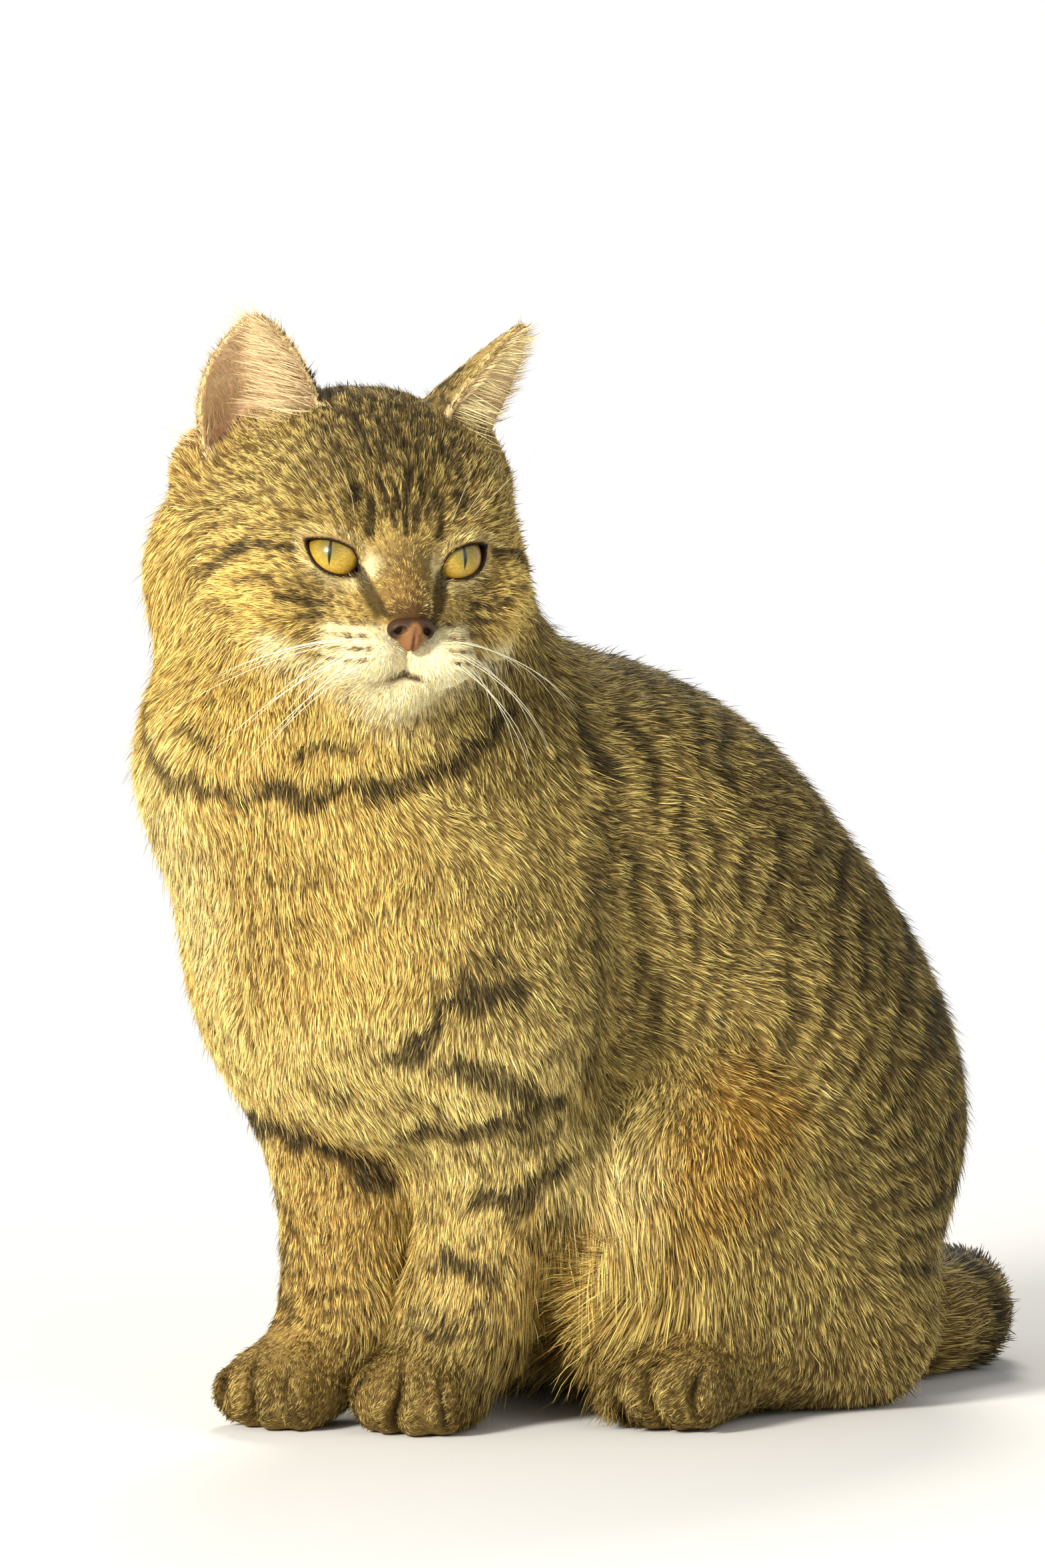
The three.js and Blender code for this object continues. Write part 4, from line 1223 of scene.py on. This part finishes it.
def bumped(material, shader, height, strength, distance):
    node = add(material, "ShaderNodeBump", Strength=strength, Distance=distance, Height=height)
    link(material, node.outputs[0], shader.inputs["Normal"])


def grained(name, scale, low, high, strength, distance, roughness, **constants):
    """A material of the piece's painted tint, mottled and roughened by one noise."""
    material, shader = material_of(name, roughness, **constants)
    where = add(material, "ShaderNodeTexCoord").outputs["Object"]
    noise = add(material, "ShaderNodeTexNoise", where, Scale=scale, Detail=3)
    mottle = ranged(material, noise.outputs["Fac"], 0.25, 0.75, low, high)
    link(material, scaled(material, tint_of(material), mottle), shader.inputs["Base Color"])
    bumped(material, shader, noise.outputs["Fac"], strength, distance)
    return material


fur, shader = material_of("fur", 0.6, Specular_IOR_Level=0.15)
link(fur, tint_of(fur), shader.inputs["Base Color"])
whisker, shader = material_of("whisker", 0.35, Specular_IOR_Level=0.5)
link(whisker, tint_of(whisker), shader.inputs["Base Color"])
skin.data.materials.append(grained("hide", 900, 0.7, 1.3, 0.25, 0.0004, 0.75, Specular_IOR_Level=0.05))
leather = grained("leather", 1500, 0.8, 1.2, 0.5, 0.0003, 0.5, Specular_IOR_Level=0.25)

# ---- The coat ----

DROOPING = 12.5                             # a tuft longer than this bends at one more place
MOST_SHORT, MOST_LONG = 65_000, 39_000      # tufts in one piece

tufts = Tufts(COAT_TUFTS)
root, h = tufts.root, tufts.h
headward = (h[:, 2] > -50) & (size_of(h) < 105)
tailward = (root[:, 1] > 256) & (root[:, 2] < 50)
drooping = tufts.length > DROOPING
groups = {
    "head": headward & ~drooping,
    "left": ~headward & ~tailward & ~drooping & (root[:, 0] >= 0),
    "right": ~headward & ~tailward & ~drooping & (root[:, 0] < 0),
    "long_left": ~tailward & drooping & (root[:, 0] >= 0),
    "long_right": ~tailward & drooping & (root[:, 0] < 0),
    "tail": ~headward & tailward,
}
for name, group in groups.items():
    long_fur = name in ("long_left", "long_right", "tail")
    stops = (0, 0.38, 0.72, 1) if long_fur else (0, 0.45, 1)
    widths = np.array((0.75, 1, 0.72) if long_fur else (0.85, 1)) / 2
    rows = np.stack([tufts.at(s) for s in stops], 1)
    tint = np.stack([tufts.tint[:, 0], tufts.tint[:, 1], tufts.tint[:, 1:].mean(1), tufts.tint[:, 2]]
                    if long_fur else tufts.tint.transpose(1, 0, 2), 1)
    for k, chosen in enumerate(split(np.flatnonzero(group), root, MOST_LONG if long_fur else MOST_SHORT)):
        ribbons(f"coat_{name}_{k + 1}", rows[chosen], tufts.width[chosen, None] * widths, tufts.side[chosen],
                tint[chosen], root[chosen], tufts.normal[chosen], fur)

# ---- Long cream hairs across the ears ----


# The hairs of each ear: the part that starts low, with its own climb and reach; the climb of all; how far
# they lean across the ear and out of it, at first and as they bend; how they shorten upward; their colour.
# The left ear is seen edge on, so its hairs show where they stand out of the hollow.
EAR_HAIR = {
    1: dict(low=0.42, low_climb=-0.35, low_reach=0.95, climb=-0.15, across=0.55, out=1.15, bend=0.6,
            shorter=20, tone=(0.95, 0.80, 0.42)),
    -1: dict(low=0.22, low_climb=0, low_reach=0.7, climb=0.2, across=1, out=0.5, bend=-0.3,
             shorter=13, tone=(0.84, 0.64, 0.36)),
}
# Along a long hair from its root to its tip: the part of its length, its shade, and its half width.
HAIR_STOPS, HAIR_SHADES = (0, 0.2, 0.4, 0.6, 0.8, 1.0), (0.72, 0.85, 0.95, 1, 1.02, 1.05)
HAIR_WIDTHS = (0.10, 0.13, 0.12, 0.10, 0.07)


def ear_hairs(s, count):
    """Hairs from the inner edge of an ear, swept across its hollow and up, some past its outer edge."""
    base, height, axes = ear_frame(s)
    kind = EAR_HAIR[s]
    rise = rng.uniform(-0.08, 0.93, count)
    low = rng.random(count) < kind["low"]
    rise = np.where(low, rng.uniform(-0.14, 0.10, count), rise)
    part = np.clip(rise, 0, 1)
    bow, flat = ear_bow(part)
    angle = -s * bow * np.where(low, rng.uniform(-0.7, 1, count), rng.uniform(0.1, 1.0, count) ** 0.7)
    r = flat - 1.8 * (1 - 0.4 * part) - 1
    flare = s * EARS[s]["flare"] * np.sin(math.pi * part)
    forward = r * np.cos(angle) - flat * np.cos(bow) - 4
    roots = np.stack([r * np.sin(angle) + flare, forward, rise * height], 1) @ axes.T + base
    across, front, up = axes[:, 0] * s, -axes[:, 1], axes[:, 2]
    aim = rng.normal(size=(3, count)) * np.array((0.24, 0.16, 0.3))[:, None]
    climb = kind["climb"] + 0.7 * part + aim[0] + kind["low_climb"] * low
    way = unit(kind["across"] * across + climb[:, None] * up + (kind["out"] + aim[1])[:, None] * front)
    bend = unit((0.9 * kind["across"] + aim[2])[:, None] * across + (climb * 0.4)[:, None] * up
                + (kind["bend"] + aim[1])[:, None] * front)
    length = rng.uniform(0.35, 1.15, count) * (27 - kind["shorter"] * part)
    length = length * np.where(low, kind["low_reach"], 1)
    rows = [roots + (way * (1 - 0.5 * t) + bend * 0.5 * t) * (length * t)[:, None] for t in HAIR_STOPS]
    side = unit(np.cross(way, front) + rng.normal(size=(count, 3)) * 0.5) @ HEAD_AXES.T
    tone = np.array(kind["tone"]) * rng.uniform(0.75, 1.08, count)[:, None]
    tint = np.stack([tone * shade for shade in HAIR_SHADES], 1).clip(0, 0.95)
    half_widths = np.array(HAIR_WIDTHS) * rng.uniform(0.7, 1.3, count)[:, None]
    facing = np.tile((axes @ np.array((0, -1, 0))) @ HEAD_AXES.T, (count, 1))
    ribbons(f"ear_hair_{'left' if s > 0 else 'right'}", out_of_head(np.stack(rows, 1)), half_widths, side,
            tint, out_of_head(roots), facing, fur)


for s in SIDES:
    ear_hairs(s, 1500)

# ---- Whiskers ----


def strands(name, routes, radius, tint):
    """A piece of tapered four-sided threads along routes of places in the head's frame."""
    routes = out_of_head(np.array(routes))
    count, length = routes.shape[:2]
    ahead = np.gradient(routes, axis=1)
    ahead /= np.linalg.norm(ahead, axis=2, keepdims=True)
    across = np.cross(ahead, (0.1, 0.2, 1.0))
    across /= np.linalg.norm(across, axis=2, keepdims=True)
    over = np.cross(across, ahead)
    thin = (radius * (1 - 0.85 * np.linspace(0, 1, length) ** 1.3))[None, :, None]
    rings = np.stack([routes + thin * (across * math.cos(a) + over * math.sin(a))
                      for a in np.arange(4) * math.pi / 2], 2)
    number = np.arange(count * length * 4).reshape(count, length, 4)
    faces = np.stack([number[:, :-1], np.roll(number[:, :-1], -1, 2), np.roll(number[:, 1:], -1, 2),
                      number[:, 1:]], -1).reshape(-1, 4)
    ends = np.concatenate([number[:, 0, ::-1], number[:, -1]])
    faces = np.concatenate([faces, ends])
    piece = new_mesh(name, rings.reshape(-1, 3), faces.ravel(), np.full(len(faces), 4))
    paint(piece, np.tile(np.array(tint), (count * length * 4, 1)))
    piece.data.materials.append(whisker)
    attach(piece, "root")


def on_face(x, z):
    """The place on the front of the face at a given distance across and height."""
    y = np.linspace(-75, -30, 400)
    line = np.stack([np.full(400, x), y, np.full(400, z)], 1).astype(F4)
    return np.array((x, y[np.argmax(face_field(line) < 0)], z))


whisker_routes, brow_routes = [], []
for s in SIDES:
    for row, z in enumerate((-26.5, -30, -33.5)):
        for column in range(4):
            start = on_face(s * (12.5 + 2.9 * column + 0.7 * row), z - 0.35 * column)
            drop = math.radians(6 + 13 * row + 5 * column * (1 if row else 0.4) + rng.uniform(-4, 4))
            reach = (58, 68, 64, 50)[column] * rng.uniform(0.85, 1.08)
            backward = 0.10 + 0.12 * column
            route = []
            for t in np.linspace(0, 1, 11):
                d, b = drop + 0.30 * t * (1 if s < 0 else 1.1), backward + 0.28 * t
                route.append(start + t * reach * np.array((s * math.cos(d) * math.cos(b), math.sin(b),
                                                          -math.sin(d) * math.cos(b))))
            whisker_routes.append(route)
    for k in range(3):
        start = on_face(s * (16 + 3.2 * k), 9.0 + 0.8 * k)
        way = np.array((s * (0.15 + 0.3 * k), -0.5, 1.0)) / 1.2
        brow_routes.append([start + way * 26 * t + np.array((s * 0.2, 0.45, 0.05)) * 26 * t * t
                            for t in np.linspace(0, 1, 8)])
strands("whiskers", whisker_routes, 0.17, (0.93, 0.87, 0.62))
strands("brow_whiskers", brow_routes, 0.09, (0.70, 0.60, 0.38))

# ---- Nose leather ----

nose_middle = out_of_head((0, -65, -24))
nose_points, nose_quads = net(lambda p: nose_field(into_head(p)), nose_middle - 13, nose_middle + 13, 0.5,
                              lambda p: face_field(into_head(p)) > -1.5)
h = into_head(nose_points.astype(F4))
across = np.abs(h[:, 0])
edge = np.maximum(1 - step(face_field(h), 0.4, 1.5), step(across + 0.75 * (h[:, 2] + 30), 6.8, 8.8))
edge = np.maximum(edge, step(h[:, 2], -21.2, -20.0))
# The nose leather is near-black in its nostrils and darker down its cleft: painted shade in these hollows.
nostril = np.minimum(*both(lambda s: limb((s * 4.0, -69.2, -23.0), (s * 7.6, -65.8, -25.4), 0.9, 0.5)(h)))
cleft = np.exp(-(h[:, 0] / 0.6) ** 2) * (h[:, 2] < -22)
nose_colour = layered(
    np.tile(np.array((0.27, 0.125, 0.042), F4), (len(h), 1)),
    ((0.17, 0.07, 0.02), 0.5 * waves(h, 3, 81)),
    ((0.035, 0.016, 0.008), 0.92 * edge),
    ((0.02, 0.008, 0.008), 1 - step(nostril, 0.1, 0.9)),
    ((0.15, 0.05, 0.035), 0.8 * cleft))
nose = new_mesh("nose_leather", nose_points, nose_quads.ravel(), np.full(len(nose_quads), 4))
paint(nose, nose_colour)
nose.data.materials.append(leather)
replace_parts(nose, "nose")
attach(nose, "root")

# ---- Eyes ----


def squared(value):
    return reckon(iris, "MULTIPLY", value, value)


iris, shader = material_of("iris", 0.3, Coat_Weight=0.4, Coat_Roughness=0.02, Specular_IOR_Level=0.2)
aim = add(iris, "ShaderNodeAttribute", attribute_name="aim")
apart = add(iris, "ShaderNodeSeparateXYZ", aim.outputs["Vector"])
x, y = apart.outputs[0], reckon(iris, "SUBTRACT", apart.outputs[1], 2.0)
radius = reckon(iris, "SQRT", reckon(iris, "ADD", squared(x), squared(y)))
spokes = add(iris, "ShaderNodeCombineXYZ", reckon(iris, "DIVIDE", x, radius),
             reckon(iris, "DIVIDE", y, radius), reckon(iris, "MULTIPLY", radius, 0.16))
fibres = add(iris, "ShaderNodeTexNoise", spokes.outputs[0], Scale=7, Detail=4)
ramp = add(iris, "ShaderNodeValToRGB", ranged(iris, radius, 0, 10.5))
stops = ((0.0, (0.20, 0.17, 0.035)), (0.16, (0.28, 0.22, 0.035)), (0.42, (0.47, 0.31, 0.036)),
         (0.74, (0.44, 0.26, 0.026)), (0.84, (0.20, 0.11, 0.015)), (0.90, (0.02, 0.012, 0.008)))
ramp.color_ramp.elements[0].color = (*stops[0][1], 1)
ramp.color_ramp.elements[1].position, ramp.color_ramp.elements[1].color = stops[-1][0], (*stops[-1][1], 1)
for place, shade in stops[1:-1]:
    ramp.color_ramp.elements.new(place).color = (*shade, 1)
streaked = scaled(iris, ramp.outputs[0], ranged(iris, fibres.outputs["Fac"], 0.3, 0.7, 0.72, 1.22))
# The iris darkens towards its top: painted shadow of the upper lid.
streaked = scaled(iris, streaked, ranged(iris, apart.outputs[1], 0.5, 5.5, 1.0, 0.35))
narrowing = reckon(iris, "SUBTRACT", 1.0, squared(reckon(iris, "DIVIDE", y, 4.6)))
slit = reckon(iris, "SUBTRACT", reckon(iris, "ABSOLUTE", x), reckon(iris, "MULTIPLY", 0.55, narrowing))
lit = add(iris, "ShaderNodeMix", data_type="RGBA")
feed(iris, lit, {0: ranged(iris, slit, -0.12, 0.18), 6: (0.004, 0.003, 0.003, 1), 7: streaked})
link(iris, lit.outputs[2], shader.inputs["Base Color"])


def eyeball(s, name):
    """A ball with a fuller clear front, turned along its own line of sight."""
    rings, slices = 36, 64
    tip = np.linspace(0, math.pi, rings + 1)[1:-1]
    around = np.arange(slices) * 2 * math.pi / slices
    r = (EYE_RADIUS + 0.45 * np.exp(-(tip / 0.62) ** 2))[:, None]
    ball = np.stack([r * np.sin(tip)[:, None] * np.cos(around), r * np.sin(tip)[:, None] * np.sin(around),
                     r * np.cos(tip)[:, None] + 0 * around], -1).reshape(-1, 3)
    ball = np.concatenate([ball, [(0, 0, EYE_RADIUS + 0.45), (0, 0, -EYE_RADIUS)]])
    number = np.arange((rings - 1) * slices).reshape(rings - 1, slices)
    after = np.roll(number, -1, 1)
    faces = np.stack([number[:-1], number[1:], after[1:], after[:-1]], -1).reshape(-1, 4)
    front, rear = len(ball) - 2, len(ball) - 1
    caps = np.concatenate([np.stack([np.full(slices, front), number[0], after[0]], 1),
                           np.stack([np.full(slices, rear), after[-1], number[-1]], 1)])
    turn = math.radians(EYE_SPLAY)
    out, up, ahead = ball.T
    h = np.stack([s * (out * math.cos(turn) + ahead * math.sin(turn)) + s * EYE_OUT,
                  out * math.sin(turn) - ahead * math.cos(turn) - EYE_FORWARD, up - EYE_DROP], 1)
    if s > 0:
        faces, caps = faces[:, ::-1], caps[:, ::-1]
    piece = new_mesh(name, out_of_head(h), np.concatenate([faces.ravel(), caps.ravel()]),
                     np.array([4] * len(faces) + [3] * len(caps)))
    seen = piece.data.attributes.new("aim", "FLOAT_VECTOR", "POINT")
    # The cat looks to its right: both pupils stand a little to that side.
    seen.data.foreach_set("vector", (ball + np.array((2.0 if s > 0 else -0.4, 0, 0))).astype(F4).ravel())
    piece.data.materials.append(iris)
    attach(piece, "root")
    return piece


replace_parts(eyeball(1, "eyeball_left"), "eye_left")
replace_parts(eyeball(-1, "eyeball_right"), "eye_right")

# ---- Studio ----


def looked_at(material):
    """Above zero where the ray is one that the eye, a gloss or glass sends."""
    path = add(material, "ShaderNodeLightPath")
    ray = path.outputs["Is Camera Ray"]
    for kind in ("Is Glossy Ray", "Is Transmission Ray"):
        ray = reckon(material, "MAXIMUM", ray, path.outputs[kind])
    return ray


CAMERA_DISTANCE = 3.0
target = Vector(metres((28.05, 56.29, 210.14)))
azimuth, height = math.radians(50), math.radians(4)
away = Vector((math.sin(azimuth) * math.cos(height), -math.cos(azimuth) * math.cos(height), math.sin(height)))
camera_data = bpy.data.cameras.new("camera")
camera_data.lens, camera_data.sensor_width, camera_data.clip_end = 211.2, 36, 100
camera = placed("camera", camera_data)
camera.location = target + away * CAMERA_DISTANCE
camera.rotation_euler = away.to_track_quat("Z", "Y").to_euler()
bpy.context.scene.camera = camera

# The floor is a wide disc that pales to pure white with distance.
rim = np.arange(96) * 2 * math.pi / 96
floor_mesh = bpy.data.meshes.new("floor")
floor_mesh.from_pydata([(20 * math.cos(a), 20 * math.sin(a), 0) for a in rim], [], [list(range(96))])
floor = placed("floor", floor_mesh)
paper, shader = material_of("paper", 0.9, Specular_IOR_Level=0.1)
shader.inputs["Base Color"].default_value = (0.80, 0.80, 0.79, 1)
place = add(paper, "ShaderNodeNewGeometry").outputs["Position"]
distance = add(paper, "ShaderNodeVectorMath", place, operation="LENGTH").outputs["Value"]
glow = add(paper, "ShaderNodeEmission", (1, 1, 1, 1), 1.0)
fade = reckon(paper, "MULTIPLY", ranged(paper, distance, 0.30, 1.1), looked_at(paper))
blank = add(paper, "ShaderNodeMixShader", fade, shader.outputs[0], glow.outputs[0])
link(paper, blank.outputs[0], paper.node_tree.nodes["Material Output"].inputs["Surface"])
floor_mesh.materials.append(paper)


def lamp(name, place, size, power, colour=(1, 1, 1)):
    data = bpy.data.lights.new(name, "AREA")
    data.shape, data.size, data.energy, data.color = "DISK", size, power, colour
    holder = placed(name, data)
    holder.location = place
    holder.rotation_euler = (Vector(place) - Vector((0, 0, 0.18))).to_track_quat("Z", "Y").to_euler()


lamp("key", (0.5, -2.17, 1.15), 0.6, 82, (1, 0.95, 0.86))
lamp("fill", (2.3, 0.1, 1.1), 1.6, 10, (1, 0.97, 0.93))
lamp("rim", (-1.4, 1.2, 1.6), 0.8, 34, (1, 0.94, 0.84))
world = bpy.data.worlds.new("studio")
bpy.context.scene.world = world
world.use_nodes = True
backdrop = world.node_tree.nodes["Background"]
backdrop.inputs[0].default_value = (1, 1, 1, 1)
link(world, ranged(world, looked_at(world), 0, 1, 0.38, 1.0), backdrop.inputs[1])
bpy.context.scene.view_settings.view_transform = "Standard"
